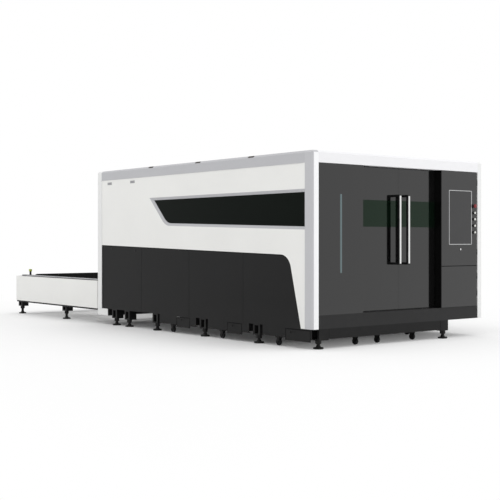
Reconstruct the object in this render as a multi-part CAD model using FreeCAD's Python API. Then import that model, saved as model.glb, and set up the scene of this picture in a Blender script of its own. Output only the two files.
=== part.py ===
"""Fibre laser cutting machine with a full enclosure and a pallet exchange table.

Axes while modelling: x runs across the machine from its window side, y runs along it from the
plane of its front doors, z runs up from the floor. The finished pieces are moved so that the
origin lies on the floor under the middle of the whole machine. All sizes are millimetres.
"""
import FreeCAD
import Part
import math
import os

V = FreeCAD.Vector

# ---- enclosure --------------------------------------------------------------------------------
enclosure_length = 4950.0      # front plane to rear plane, along y
enclosure_width = 3050.0       # window side to plain side, along x
enclosure_height = 2325.0
sill_height = 239.0            # underside of posts and panels
post_side = 136.0              # corner post, seen from the side of the machine
post_front = 95.0              # corner post, seen from the front
post_radius = 30.0
post_wall = 5.0
beam_height = 143.0            # depth of the roof beams' outer face and chamfer
beam_width = 95.0
beam_chamfer = 25.0
roof_ledge = 25.0              # shelf in the beams that carries the roof panels
roof_thickness = 32.0
roof_panel_count = 3
sheet = 3.0                    # folded sheet of pans, trays and skirts
panel_thickness = 24.0
panel_setback = 6.0            # panels lie this far behind the posts' faces
dark_setback = 10.0            # and the dark access panels this far
groove = 5.0                   # width of the joint line between neighbouring panels
round_sides = 8                # small round parts that repeat are drawn with this many sides
button_sides = 10              # and the ones that a hand or an eye meets with this many
bolt_sides = 6                 # bolts, studs and their holes

# ---- window side ------------------------------------------------------------------------------
colour_line_rear = 1203.0      # height of the white and dark boundary at the rear
colour_line_front = 1102.0     # and where it would meet the slanted edge at the front
slant_top = 429.0              # y of that meeting point
slant_foot = 212.0             # y of the slanted edge at the sill
slant_radius = 195.0
access_seams = (1319.0, 2504.0, 3698.0)
window_top = 1842.0
window_sill_front = 1436.0
window_sill_rear = 1513.0
window_rear_top = 3389.0
window_rear_foot = 3057.0
window_radius = 240.0
bevel_level = 36.0             # bevelled window frame, above and below the glass
bevel_end = 38.0               # and at its slanted end
bevel_land = 4.0
glass = 6.0
hinge_plate = (123.0, 37.0, 3.0)
hinge_plate_places = ((4584.0, 2128.0), (3937.0, 2128.0))
panel_lock_places = ((4534.0, 1149.0), (3885.0, 1122.0))
panel_lock_radius = 14.0
roof_plug = (115.0, 26.0, 6.0)
roof_plug_places = (1157.0, 2300.0, 3449.0)

# ---- front ------------------------------------------------------------------------------------
fascia_top = 400.0
fascia_wall = 10.0
door_recess = 113.0            # front plane to the face of the door leaves
door_left = 826.0              # window side to the near edge of the doorway
seam_shift = 20.0              # the leaves meet this far right of the doorway's middle
door_gap = 2.0
door_overlap = 41.0            # a leaf reaches this far behind the edge of the doorway
leaf_thickness = 40.0
leaf_lap = 33.0                # the leaves reach this far up behind the front beam
hanger_radius = 20.0
hanger_width = 12.0
track_lip = 7.0
track_wall = 5.0
pane_low = 1442.0
pane_high = 1771.0
pane_edge = 30.0
pane_rebate = 25.0
handle_offset = 79.0           # handle to the seam between the leaves
handle_low = 970.0
handle_high = 1845.0
handle_width = 44.0
handle_depth = 28.0
handle_strip = (34.0, 6.0)
handle_reach = 112.0           # face of the steel strip to the leaf
light_place = 458.0
light_width = 28.0
light_low = 889.0
light_high = 1822.0
light_depth = 6.0

# ---- control console --------------------------------------------------------------------------
console_width = 816.0
console_seam = 942.0
console_gap = 3.0
console_wall = 6.0
leaf_clearance = 6.0           # console's rear face to the leaf that slides behind it
hinge_barrel = 4.0             # radius of the console doors' hinge barrels
knuckle_length = 35.0
pin_head = 3.0
console_swing_gap = 0.5        # barrel to the neighbouring edges
screen_inset = 118.0           # console's right edge to the screen surround
screen_width = 456.0
screen_low = 1218.0
screen_high = 1931.0
screen_bezel = 9.0
screen_proud = 6.0
screen_radius = 14.0
module_depth = 30.0
module_height = 60.0
module_pitch = 150.0
module_columns = 4
button_inset = 75.0            # console's right edge to the column of buttons
stop_height = 1730.0
stop_radius = 28.0
stop_travel = 5.0
button_heights = (1640.0, 1555.0, 1469.0, 1381.0)
button_radius = 15.0
button_stem = 7.5
button_reach = 32.0
button_travel = 4.0
stop_reach = 40.0              # the emergency stop stands this far out of the door's face
collar_radius = 18.0
collar_proud = 14.0
key_inset = 343.0              # console's right edge to the key lock
key_height = 1157.0
key_radius = 12.0

# ---- bed --------------------------------------------------------------------------------------
bed_margin = 26.0              # the bed's plain side lies this far inside the table's
beam_offset = 935.0            # bed centre to the middle of each main beam
main_beam = (130.0, 410.0)       # width and height
tube_size = (100.0, 76.0)      # cross tubes
side_feet = (1062.0, 2203.0, 3356.0, 4110.0, 4470.0)
stud_inset = 62.0              # studs of the side and table feet to the outer face
bracket_inset = 20.0           # and their brackets to it
corner_stud = (170.0, 90.0)    # stud at the front corner of the window side
plain_corner_stud = (50.0, 62.0)
foot_bracket = (120.0, 137.0)
corner_bracket = (156.0, 158.0)
plain_corner_bracket = (144.0, 144.0)
corner_gap = 12.0              # corner bracket to the line of the post
bracket_bottom = 105.0
bracket_wall = 8.0
pad_radius = 62.0
pad_rim = 11.0                 # height of the pad's upright edge
pad_height = 36.0
neck_radius = 20.0
stud_radius = 16.0
nut_size = 74.0
nut_height = 45.0
skirt_bottom = 117.0
skirt_end = 3433.0
skirt_gap = 4.0                # front skirt to the corner brackets
pocket_near = 64.0             # clear space in the skirt beside a foot bracket
pocket_far = 70.0
caster_side = (677.0, 1813.0, 2953.0)
caster_front = (843.0, 1219.0, 1854.0)
caster_inset = 62.0
caster_radius = 42.0
caster_width = 32.0
caster_axle = 6.0
caster_cheek = 4.0
caster_lift = 3.0              # clearance to the floor while the machine stands on its feet
rear_sill = (4640.0, 4904.0)
main_lap = 100.0               # the main beams reach this far over the rear sill
rear_sill_bottom = 135.0
drawers = ((50.0, 496.0, 205.0), (1345.0, 1645.0, 1345.0), (2485.0, 2800.0, 2485.0))
drawer_front_bottom = 87.0
drawer_bottom = 123.0
drawer_top = 225.0
drawer_length = 1880.0
pull_slot = (110.0, 24.0)
runner = 4.0                   # wall and foot of the drawers' angle runners
runner_foot = 24.0
partition_gap = 24.0           # partition to the bed's plain side

# ---- motion system ----------------------------------------------------------------------------
rail_width = 34.0
rail_height = 28.0
rack_size = 25.0
head_y = 1050.0                # cutting head at rest
portal_gap = 150.0             # head axis to the front face of the gantry beam
portal_depth = 270.0
portal_low = 905.0
portal_high = 1215.0
truck_length = 420.0
truck_shoulder = 60.0          # bevel of the trucks' upper corners
block_length = 90.0            # bearing blocks on the long rails
block_wall = 4.7
block_drop = 19.0              # blocks reach this far below the rails' tops
cross_rail_heights = (955.0, 1155.0)
cross_rail_end = 40.0          # rails end this far inside the beam
carriage_half = 150.0
carriage_low = 930.0
carriage_high = 1295.0
carriage_face = 95.0           # head axis to the carriage's plate
cheek_wall = 12.0              # and the carriage's side plates
cheek_low = 30.0               # head axis to the plates' front edge, at their foot
cheek_high = 70.0              # and at their top
hood_rise = 40.0               # hood over the carriage's plate
hood_lap = 60.0                # and over the gantry beam
hood_gap = 10.0                # hood to the top of the beam
slide_half = 62.0
slide_depth = 43.0
slide_foot = 70.0              # nozzle tip to the foot of the slide
clamp_span = (120.0, 235.0)    # clamp on the head's body, above the nozzle tip
head_radius = 38.0
nozzle_profile = ((4.0, 0.0), (12.0, 16.0), (20.0, 34.0))
nozzle_top = 60.0
body_low = 95.0                # the head's steps, above the nozzle tip
body_high = 250.0
collimator_low = 262.0
collimator_high = 400.0
connector_low = 412.0
head_top = 460.0
nozzle_height = 785.0          # tip of the nozzle at rest
running = 0.3                  # clearance between surfaces that slide past each other

# ---- pallets and exchange table ---------------------------------------------------------------
table_end = 7770.0
table_width = 2400.0
table_skirt_low = 229.0
table_skirt_high = 655.0
table_rail_top = 680.0
table_rail_width = 80.0
table_rail_drop = 22.0         # rails reach this far below the skirts' top edge
table_rail_step = 24.0         # upper part of the rail stands this far in
strip_lap = 8.0                # the dark strips reach this far under the skirts
upright_width = 60.0
last_upright = 420.0           # from the end of the side rails to the last upright
tie_width = 120.0
end_shoulder = 380.0           # raised middle of the end beam begins this far in
end_drop = 80.0                # length of its sloping shoulders
skirt_wall = 18.0
end_beam = 80.0                # depth of the table's end beam, skirt included
rail_end_gap = 60.0            # side rails end this far before the end beam
table_strip = 14.0             # dark frame that shows below the white skirt
table_feet = (6045.0, 7650.0)
table_bracket_bottom = 130.0
pallet_length = 2600.0
pallet_width = 1540.0
pallet_frame = (50.0, 60.0)    # width and height of the side channels
pallet_web = 10.0
slat_pitch = 96.0
slat = (4.0, 76.0)
slat_seat = 36.0               # slats reach this far down into the frame
pallet_inside = 1450.0          # y of the front end of the pallet inside the machine
pallet_outside = 5000.0        # and of the one on the table
track_top = 525.0
track_thickness = 10.0
track_gap = 5.0                # pallet frame to the tracks beside it
roller = (30.0, 30.0)          # radius and width
roller_gap = 6.0               # rollers to the deck's webs
roller_shares = (0.04, 0.5, 0.96)   # places of the rollers along the pallet
roller_sink = 0.8              # share of the frame's height below the rollers' axes
lift_stroke = 135.0
deck_web = 12.0
deck_front_gap = 20.0          # rear wall to the deck
deck_end_gap = 110.0           # deck to the end of the table
deck_depth = 60.0              # webs below the lower track
deck_bar = (80.0, 50.0)        # cross bars, width and height
guide_height = 110.0
guide_width = 50.0
column_radius = 25.0
column_height = 416.0
column_foot = (42.5, 16.0)     # radius and height of the columns' feet
column_places = (5250.0, 7450.0)
column_gap = 120.0             # deck's webs to the axes of the columns
guard_place = 7340.0           # sensor posts near the end of the table
guard_inset = 58.0
guard_stem = (28.0, 60.0)      # width and height
guard_cap = (44.0, 38.0)

# ---- worked-out places ------------------------------------------------------------------------
roof_under = enclosure_height - roof_thickness
beam_under = enclosure_height - beam_height
console_right = enclosure_width - post_front
door_right = enclosure_width - console_width
door_seam = (door_left + door_right) / 2 + seam_shift
leaf_top = beam_under + leaf_lap
leaf_back = door_recess + leaf_thickness
console_back = door_recess - leaf_clearance
screen_right = console_right - screen_inset
screen_left = screen_right - screen_width
button_column = console_right - button_inset
key_place = (console_right - key_inset, key_height)
bed_right = table_width - bed_margin
bed_centre = table_width / 2
partition_place = bed_right - partition_gap
beam_left = bed_centre - beam_offset
beam_right = bed_centre + beam_offset
tube_top = sill_height + tube_size[1]
main_top = tube_top + main_beam[1]
main_end = rear_sill[0] + main_lap
deck_inner = pallet_width / 2 + roller[1] + roller_gap
deck_half = deck_inner + deck_web


# ---- shaping helpers --------------------------------------------------------------------------
def block(x, y, z):
    """A box from three (low, high) pairs."""
    return Part.makeBox(x[1] - x[0], y[1] - y[0], z[1] - z[0], V(x[0], y[0], z[0]))


def place(axis, u, v, w):
    """The point whose coordinate along axis is w; u and v are the other two, in x, y, z order."""
    return {"x": V(w, u, v), "y": V(u, w, v), "z": V(u, v, w)}[axis]


def corner_arc(before, at, after, radius):
    """Ends and middle of the arc of this radius that rounds the corner at a vertex."""
    back, ahead = (before - at).normalize(), (after - at).normalize()
    half = back.getAngle(ahead) / 2
    tangent = radius / math.tan(half)
    bisector = (back + ahead).normalize()
    middle = at + bisector * (radius / math.sin(half) - radius)
    return at + back * tangent, middle, at + ahead * tangent


def outline(axis, level, points, radii=None):
    """A closed wire through (u, v) points in the plane axis = level, with rounded corners."""
    corners = [place(axis, u, v, level) for u, v in points]
    radii = radii or {}
    edges, ends = [], []
    for i, at in enumerate(corners):
        if i in radii:
            before, after = corners[i - 1], corners[(i + 1) % len(corners)]
            start, middle, end = corner_arc(before, at, after, radii[i])
            edges.append(Part.Arc(start, middle, end).toShape())
            ends.append((start, end))
        else:
            ends.append((at, at))
    for i, (_, leave) in enumerate(ends):
        reach = ends[(i + 1) % len(ends)][0]
        if leave.distanceToPoint(reach) > 1e-6:
            edges.append(Part.LineSegment(leave, reach).toShape())
    return Part.Wire(Part.__sortEdges__(edges))


def prism(axis, span, points, radii=None):
    """A solid with this outline, reaching from span[0] to span[1] along axis."""
    face = Part.Face(outline(axis, span[0], points, radii))
    return face.extrude(place(axis, 0, 0, span[1] - span[0]))


def rectangle(u, v):
    """Corners of a rectangle from two (low, high) pairs."""
    return [(u[0], v[0]), (u[1], v[0]), (u[1], v[1]), (u[0], v[1])]


def cut_corners(u, v, cut):
    """Corners of a rectangle from two (low, high) pairs, its four corners cut off at 45 degrees."""
    return [(u[0] + cut, v[0]), (u[1] - cut, v[0]), (u[1], v[0] + cut), (u[1], v[1] - cut),
            (u[1] - cut, v[1]), (u[0] + cut, v[1]), (u[0], v[1] - cut), (u[0], v[0] + cut)]


def offset_outline(points, distances):
    """Move each side of a counter-clockwise outline outward by its own distance."""
    count = len(points)
    lines = []
    for i in range(count):
        (u0, v0), (u1, v1) = points[i], points[(i + 1) % count]
        length = math.hypot(u1 - u0, v1 - v0)
        du, dv = (u1 - u0) / length, (v1 - v0) / length
        lines.append((u0 + dv * distances[i], v0 - du * distances[i], du, dv))
    moved = []
    for i in range(count):
        u0, v0, a, b = lines[i - 1]
        u1, v1, c, d = lines[i]
        step = ((u1 - u0) * d - (v1 - v0) * c) / (a * d - b * c)
        moved.append((u0 + a * step, v0 + b * step))
    return moved


def circle_points(radius, u, v, sides):
    """Corners of a many-sided section, on a circle of this radius about (u, v)."""
    turns = [2 * math.pi * i / sides for i in range(sides)]
    return [(u + radius * math.cos(turn), v + radius * math.sin(turn)) for turn in turns]


def turned(profile, base, direction, sides):
    """A many-sided turned solid from (radius, height) points, standing at base."""
    rows = [[V(u, v, height) for u, v in circle_points(radius, 0, 0, sides)]
            for radius, height in profile]
    faces = []
    for low, high in zip(rows, rows[1:] + rows[:1]):
        for i in range(sides):
            j = (i + 1) % sides
            ring = [low[i], low[j]] if low[i] != low[j] else [low[i]]
            ring += [high[j], high[i]] if high[i] != high[j] else [high[i]]
            if len(ring) > 2:
                faces.append(Part.Face(Part.makePolygon([*ring, ring[0]])))
    solid = Part.Solid(Part.Shell(faces)).removeSplitter()
    if solid.Volume < 0:
        solid.reverse()
    solid.Placement = FreeCAD.Placement(base, FreeCAD.Rotation(V(0, 0, 1), direction))
    return solid


def cylinder(radius, span, axis, u, v):
    """A true cylinder along axis over span, centred on (u, v), for what turns or is turned about."""
    base = place(axis, u, v, span[0])
    return Part.makeCylinder(radius, span[1] - span[0], base, place(axis, 0, 0, 1))


def round_bar(radius, span, axis, u, v, sides):
    """A round bar along axis over span, centred on (u, v), drawn with this many sides."""
    return prism(axis, span, circle_points(radius, u, v, sides))


def round_hole(radius, span, axis, u, v, sides):
    """The space of a hole whose flats lie at this radius, so that a bar inside it can turn."""
    return round_bar(radius / math.cos(math.pi / sides), span, axis, u, v, sides)


def sliding_hole(radius, span, axis, u, v, sides):
    """The space of a hole that follows a many-sided bar all round, so that it can only slide."""
    return round_bar(radius + running / math.cos(math.pi / sides), span, axis, u, v, sides)


def box_tube(x, y, z, wall, along):
    """A rectangular hollow section, open at both ends of its long axis."""
    spans = {"x": x, "y": y, "z": z}
    inner = {k: (lo + wall, hi - wall) for k, (lo, hi) in spans.items()}
    inner[along] = (spans[along][0] - 1, spans[along][1] + 1)
    return block(x, y, z).cut(block(inner["x"], inner["y"], inner["z"]))


def fused(solids):
    """One solid from several that touch, without the lines where they met."""
    whole = solids[0].fuse(solids[1:]) if len(solids) > 1 else solids[0]
    return whole.removeSplitter()


def group(solids):
    """Several separate solids kept as one piece list."""
    return Part.makeCompound(solids)


def mirrored_x(shape, about):
    """The shape reflected in the plane x = about."""
    return shape.mirror(V(about, 0, 0), V(1, 0, 0))


def mirrored_y(shape, about):
    """The shape reflected in the plane y = about."""
    return shape.mirror(V(0, about, 0), V(0, 1, 0))


# ---- enclosure frame --------------------------------------------------------------------------
def roof_space():
    """The space that the roof panels fill, between the roof beams."""
    edge = beam_width - roof_ledge
    return block((edge, enclosure_width - edge), (edge, enclosure_length - edge),
                 (roof_under, enclosure_height + 1))


def envelope():
    """The enclosure's outer form, with its chamfer round the roof."""
    c = beam_chamfer
    h = enclosure_height
    across = prism("y", (0, enclosure_length), [
        (0, 0), (enclosure_width, 0), (enclosure_width, h - c), (enclosure_width - c, h),
        (c, h), (0, h - c)])
    along = prism("x", (0, enclosure_width), [
        (0, 0), (enclosure_length, 0), (enclosure_length, h - c), (enclosure_length - c, h),
        (c, h), (0, h - c)])
    return across.common(along)


def corner_post():
    """The front post on the window side: a hollow section with one round outer corner."""
    w, d, t = post_front, post_side, post_wall
    outer = prism("z", (sill_height, enclosure_height), rectangle((0, w), (0, d)),
                  {0: post_radius})
    cavity = prism("z", (sill_height - 1, roof_under - 4 * t),
                   rectangle((t, w - t), (t, d - t)), {0: post_radius - t})
    return outer.common(envelope()).cut(cavity).cut(roof_space())


def beam_profile(flip_at=None):
    """Section of a roof beam: outer face, chamfer, top and the shelf for the roof panels."""
    h, c, w = enclosure_height, beam_chamfer, beam_width
    points = [(0, beam_under), (w, beam_under), (w, roof_under), (w - roof_ledge, roof_under),
              (w - roof_ledge, h), (c, h), (0, h - c)]
    return [(flip_at - u, v) for u, v in points] if flip_at else points


def top_beam_front():
    return prism("x", (post_front, enclosure_width - post_front), beam_profile())


def top_beam_rear():
    return mirrored_y(top_beam_front(), enclosure_length / 2)


def top_beam_left():
    return prism("y", (post_side, enclosure_length - post_side), beam_profile())


def top_beam_right():
    return mirrored_x(top_beam_left(), enclosure_width / 2)


def roof_panels():
    """Folded roof pans, side by side along the machine, each with a shallow stiffening rib."""
    edge = beam_width - roof_ledge
    pitch = (enclosure_length - 2 * edge) / roof_panel_count
    x = (edge, enclosure_width - edge)
    pans = []
    for i in range(roof_panel_count):
        y = (edge + i * pitch, edge + (i + 1) * pitch)
        pan = block(x, y, (roof_under, enclosure_height - sheet))
        fold = roof_ledge
        hollow = block((x[0] + fold, x[1] - fold), (y[0] + fold, y[1] - fold),
                       (roof_under - 1, enclosure_height - 2 * sheet))
        seam = prism("x", x, [(y[0], enclosure_height - sheet), (y[0] + 2 * fold, enclosure_height
                     - sheet), (y[0] + fold, enclosure_height), (y[0], enclosure_height)])
        pans.append(fused([pan.cut(hollow), seam]))
    return group(pans)


def roof_plugs():
    """Oval plugs over the lifting holes, on the chamfer above the window side."""
    length, width, proud = roof_plug
    inset = beam_chamfer / 2
    plugs = []
    for y in roof_plug_places:
        plug = prism("z", (0, proud), cut_corners((-width / 2, width / 2),
                                                  (-length / 2, length / 2), width / 3))
        plug.Placement = FreeCAD.Placement(V(inset, y, enclosure_height - inset),
                                           FreeCAD.Rotation(V(0, 0, 1), V(-1, 0, 1)))
        plugs.append(plug)
    return plugs


# ---- side panels ------------------------------------------------------------------------------
def white_outline():
    """White field of the window side: it narrows to a slanted strip beside the front post."""
    rear = enclosure_length - post_side
    points = [(post_side, sill_height), (slant_foot, sill_height), (slant_top, colour_line_front),
              (rear, colour_line_rear), (rear, beam_under), (post_side, beam_under)]
    return points, {2: slant_radius}


def window_outline():
    """Clear outline of the side window, counter-clockwise from its front lower corner."""
    return [(post_side, window_sill_front), (window_rear_foot, window_sill_rear),
            (window_rear_top, window_top), (post_side, window_top)]


def window_opening():
    """Outer outline of the bevelled frame, and its rounded corner."""
    grown = offset_outline(window_outline(), (bevel_level, bevel_end, bevel_level, 0))
    return grown, {1: window_radius + bevel_level}


def left_upper_panel():
    points, radii = white_outline()
    front, back = panel_setback, panel_setback + panel_thickness
    panel = prism("x", (front, back), points, radii)
    return panel.cut(prism("x", (front - 1, back + 1), *window_opening()))


def side_window_frame():
    """Bevelled surround: it falls from the panel's face to the edge of the glass."""
    front, back = panel_setback, panel_setback + panel_thickness
    points, radii = window_opening()
    ring = prism("x", (front, back), points, radii)
    inner = window_outline()
    slope = Part.makeLoft([
        outline("x", front - 0.01, points, radii),
        outline("x", back - bevel_land, inner, {1: window_radius})], True, True)
    through = prism("x", (back - bevel_land - 0.5, back + 1), inner, {1: window_radius})
    return ring.cut(slope).cut(through)


def side_window_glass():
    """Tinted pane, held against the back of the frame."""
    back = panel_setback + panel_thickness
    lap = bevel_level / 2
    points = offset_outline(window_outline(), (lap, lap, lap, 0))
    return prism("x", (back, back + glass), points, {1: window_radius + lap})


def access_panel_group(points, radii, seams):
    """Dark access panels in one plane, with a V-shaped joint line at each seam."""
    front, back = dark_setback, panel_setback + panel_thickness
    field = prism("x", (front, back), points, radii)
    ends = [-1.0, *seams, enclosure_length]
    panels = []
    for near, far in zip(ends, ends[1:]):
        bay = block((front, back), (near, far), (0, enclosure_height))
        panel = field.common(bay)
        for seam in (near, far):
            notch = prism("z", (0, enclosure_height), [
                (front - 0.01, seam - groove / 2), (front + groove, seam),
                (front - 0.01, seam + groove / 2)])
            panel = panel.cut(notch)
        panels.append(panel)
    return panels


def left_lower_panels():
    rear = enclosure_length - post_side
    points = [(slant_foot, sill_height), (rear, sill_height), (rear, colour_line_rear),
              (slant_top, colour_line_front)]
    return group(access_panel_group(points, {3: slant_radius}, access_seams))


def panel_fittings():
    """Plates of the service flap's hinges and the quarter-turn locks of the rear access panels."""
    length, width, proud = hinge_plate
    pieces = []
    for y, z in hinge_plate_places:
        pieces.append(prism("x", (panel_setback - proud, panel_setback), cut_corners(
            (y - length / 2, y + length / 2), (z - width / 2, z + width / 2), width / 6)))
    r = panel_lock_radius
    for y, z in panel_lock_places:
        pieces.append(turned([(0, 0), (r, 0), (r, r / 4), (r * 0.7, r / 2), (0, r / 2)],
                             V(dark_setback, y, z), V(-1, 0, 0), button_sides))
    return pieces


def right_upper_panel():
    """Plain white panel of the far side, above the same colour line height."""
    rear = enclosure_length - post_side
    points = [(post_side, colour_line_front), (rear, colour_line_rear), (rear, beam_under),
              (post_side, beam_under)]
    panel = prism("x", (panel_setback, panel_setback + panel_thickness), points)
    return mirrored_x(panel, enclosure_width / 2)


def right_lower_panels():
    rear = enclosure_length - post_side
    points = [(post_side, sill_height), (rear, sill_height), (rear, colour_line_rear),
              (post_side, colour_line_front)]
    panels = access_panel_group(points, None, access_seams)
    return group([mirrored_x(panel, enclosure_width / 2) for panel in panels])


def slot_span():
    """The pallet slot in the rear wall: x and z spans."""
    half = pallet_width / 2 + roller[1] + 3 * track_thickness
    return ((bed_centre - half, bed_centre + half),
            (track_top - lift_stroke - 2 * roller[0], track_top + lift_stroke))


def rear_wall():
    """Rear wall with the slot that the pallets pass, stiffened by a collar."""
    x, z = slot_span()
    back = enclosure_length - panel_setback
    wall = block((post_front, enclosure_width - post_front), (back - panel_thickness, back),
                 (sill_height, beam_under))
    lip = panel_thickness / 2
    collar = prism("y", (back - panel_thickness, enclosure_length), cut_corners(
        (x[0] - lip, x[1] + lip), (z[0] - lip, z[1] + lip), lip))
    slot = prism("y", (back - panel_thickness - 1, enclosure_length + 1),
                 cut_corners(x, z, lip / 2))
    return fused([wall, collar]).cut(slot)


# ---- front panels -----------------------------------------------------------------------------
def front_fixed_panel():
    """Fixed glossy panel left of the doorway, folded back to the door at its free edge."""
    y = (panel_setback, panel_setback + panel_thickness)
    plate = [(post_front, y[0]), (door_left, y[0]), (door_left, door_recess - 2),
             (door_left - panel_thickness, door_recess - 2),
             (door_left - panel_thickness, y[1]), (post_front, y[1])]
    panel = prism("z", (fascia_top, beam_under), plate, {1: panel_setback})
    half = light_width / 2
    recess = block((light_place - half, light_place + half), (y[0] - 1, y[0] + light_depth),
                   (light_low, light_high))
    return panel.cut(recess)


def light_strip():
    """Status light: a diffuser bar with a low crown, set in the fixed panel."""
    half = light_width / 2
    y = panel_setback
    crown = y - light_depth / 3
    section = [(light_place - half, y + light_depth), (light_place - half, y),
               (light_place - half / 2, crown), (light_place + half / 2, crown),
               (light_place + half, y), (light_place + half, y + light_depth)]
    return prism("z", (light_low, light_high), section)


def base_fascia():
    """Folded plinth below the front panels: face, ledge in front of the doors and lower lip."""
    y0, y1, t = panel_setback, door_recess, fascia_wall
    lip = y0 + 5 * t
    section = [(y0, sill_height), (lip, sill_height), (lip, sill_height + t),
               (y0 + 2 * t, sill_height + t), (y0 + 2 * t, fascia_top - t),
               (y1, fascia_top - t), (y1, fascia_top), (y0, fascia_top)]
    return prism("x", (post_front, enclosure_width - post_front), section)


def guide_levels():
    """Bottom of the leaf's fin and of the groove that it runs in."""
    depth = leaf_thickness / 3
    return fascia_top - depth + running, fascia_top - depth


def door_tracks():
    """Top track behind the front beam, and the grooved guide below the leaves."""
    x = (post_front, enclosure_width - post_front)
    t, lip = track_wall, track_lip
    y0, y1 = beam_width, leaf_back + fascia_wall
    low = leaf_top + t
    shelf = sum((door_recess, leaf_back)) / 2 + 2
    top = prism("x", x, [
        (y0, low), (y0, roof_under), (y1, roof_under), (y1, low), (shelf, low),
        (shelf, low + lip), (y1 - t, low + lip), (y1 - t, roof_under - t),
        (y0 + t, roof_under - t), (y0 + t, low)])
    g0, g1 = door_recess, leaf_back
    third = leaf_thickness / 3
    floor = guide_levels()[1]
    guide = prism("x", x, [
        (g0, tube_top), (g1, tube_top), (g1, fascia_top), (g1 - third, fascia_top),
        (g1 - third, floor), (g0 + third, floor), (g0 + third, fascia_top), (g0, fascia_top)])
    return group([top, guide])


def leaf_spans(right_hand):
    """x span of a door leaf and of its glass pane."""
    if right_hand:
        leaf = (door_seam + door_gap / 2, door_right + door_overlap)
        return leaf, (leaf[0] + door_gap, leaf[1] - pane_edge)
    leaf = (door_left - door_overlap, door_seam - door_gap / 2)
    return leaf, (leaf[0] + pane_edge, leaf[1] - door_gap)


def door_leaf(right_hand):
    """Sliding leaf: rebate for the glass, sight opening, guide fin and two hanger rollers."""
    leaf, pane = leaf_spans(right_hand)
    y = (door_recess, leaf_back)
    slab = block(leaf, y, (fascia_top + running, leaf_top))
    rebate = block(pane, (y[0] - 1, y[0] + glass), (pane_low, pane_high))
    sight = block((pane[0] + pane_rebate, pane[1] - pane_rebate), (y[0], y[1] + 1),
                  (pane_low + pane_rebate, pane_high - pane_rebate))
    slab = slab.cut(rebate).cut(sight)
    middle = sum(y) / 2
    axle = leaf_top + track_wall + track_lip + running + hanger_radius
    half = hanger_radius * 0.7
    hangers = []
    for x in (leaf[0] + 4 * hanger_radius, leaf[1] - 4 * hanger_radius):
        hangers.append(block((x - half, x + half), (middle - 0.7 * hanger_width, middle),
                             (leaf_top, axle + half)))
        hangers.append(round_bar(hanger_radius, (middle, middle + hanger_width), "y", x, axle,
                                 round_sides))
    fin_half = leaf_thickness / 6 - 1
    fin = block(leaf, (middle - fin_half, middle + fin_half),
                (guide_levels()[0], fascia_top + running))
    return fused([slab, fin, *hangers])


def door_glass(right_hand):
    _, pane = leaf_spans(right_hand)
    return block(pane, (door_recess, door_recess + glass), (pane_low, pane_high))


def handle(right_hand):
    """Bow handle: a rounded black body on two standoffs, with a flat steel strip on its front."""
    x = door_seam + (handle_offset if right_hand else -handle_offset)
    front = door_recess - handle_reach
    grip = front + handle_strip[1]
    t = handle_depth
    body = prism("x", (x - handle_width / 2, x + handle_width / 2), [
        (grip, handle_low), (door_recess, handle_low), (door_recess, handle_low + t),
        (grip + t, handle_low + t), (grip + t, handle_high - t),
        (door_recess, handle_high - t), (door_recess, handle_high), (grip, handle_high)],
        {0: t / 2, 7: t / 2})
    half = handle_strip[0] / 2
    strip = block((x - half, x + half), (front, grip), (handle_low + t / 2, handle_high - t / 2))
    return group([body, strip])


# ---- control console --------------------------------------------------------------------------
def console_pin():
    """x and y of the axis that both console doors turn about."""
    reach = hinge_barrel + console_swing_gap
    return console_right - reach, panel_setback


def console_door_levels():
    """(low, high) of the lower and of the upper console door."""
    gap = console_gap
    return ((fascia_top + gap, console_seam - gap / 2), (console_seam + gap / 2, beam_under - gap))


def knuckles(fixed):
    """Hinge knuckles near both ends of each door, the case's below, and the upper pin's head."""
    x, y = console_pin()
    pieces = []
    for low, high in console_door_levels():
        if fixed:
            pin_low = high - 5 * knuckle_length - pin_head
            pieces.append(cylinder(hinge_barrel, (pin_low, pin_low + pin_head), "z", x, y))
        for at in (low + 4 * knuckle_length, high - 5 * knuckle_length):
            start = at if fixed else at + knuckle_length + running
            z = (start, start + knuckle_length)
            pieces.append(round_bar(hinge_barrel, z, "z", x, y, round_sides))
            if fixed:
                pieces.append(block((x, x + hinge_barrel), (y, panel_setback + panel_thickness), z))
            else:
                pieces.append(block((console_door_span()[1], x), (y, y + hinge_barrel), z))
    return pieces


def control_console():
    """Shallow console case, open at the front behind its two doors, with its hinge knuckles."""
    x = (door_right, console_right)
    y = (panel_setback, console_back)
    z = (fascia_top, beam_under)
    t = console_wall
    rim = y[0] + panel_thickness
    case = block(x, y, z)
    doorway = block((x[0] + t, x[1] + 1), (y[0] - 1, rim), (z[0] - 1, z[1] + 1))
    hollow = block((x[0] + t, x[1] - t), (rim - 1, y[1] - t), (z[0] + t, z[1] - t))
    return fused([case.cut(doorway).cut(hollow), *knuckles(True)])


def console_door_span():
    """x span of the console doors, clear of the case's cheek and of the hinge barrels."""
    pin = console_pin()[0]
    return door_right + console_wall + console_gap, pin - hinge_barrel - console_swing_gap


def console_door(z):
    """A door plate with round front edges, its back hollowed inside a stiffening return."""
    x = console_door_span()
    front = panel_setback
    back = front + panel_thickness - running
    t = console_wall / 2
    plate = prism("z", z, rectangle(x, (front, back)), {0: t})
    pocket = block((x[0] + 4 * t, x[1] - 4 * t), (front + 3 * t, back + 1),
                   (z[0] + 4 * t, z[1] - 4 * t))
    held = [piece for piece in knuckles(False) if z[0] < piece.BoundBox.ZMin < z[1]]
    return fused([plate.cut(pocket), *held])


def console_lower_door():
    return console_door(console_door_levels()[0])


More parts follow.
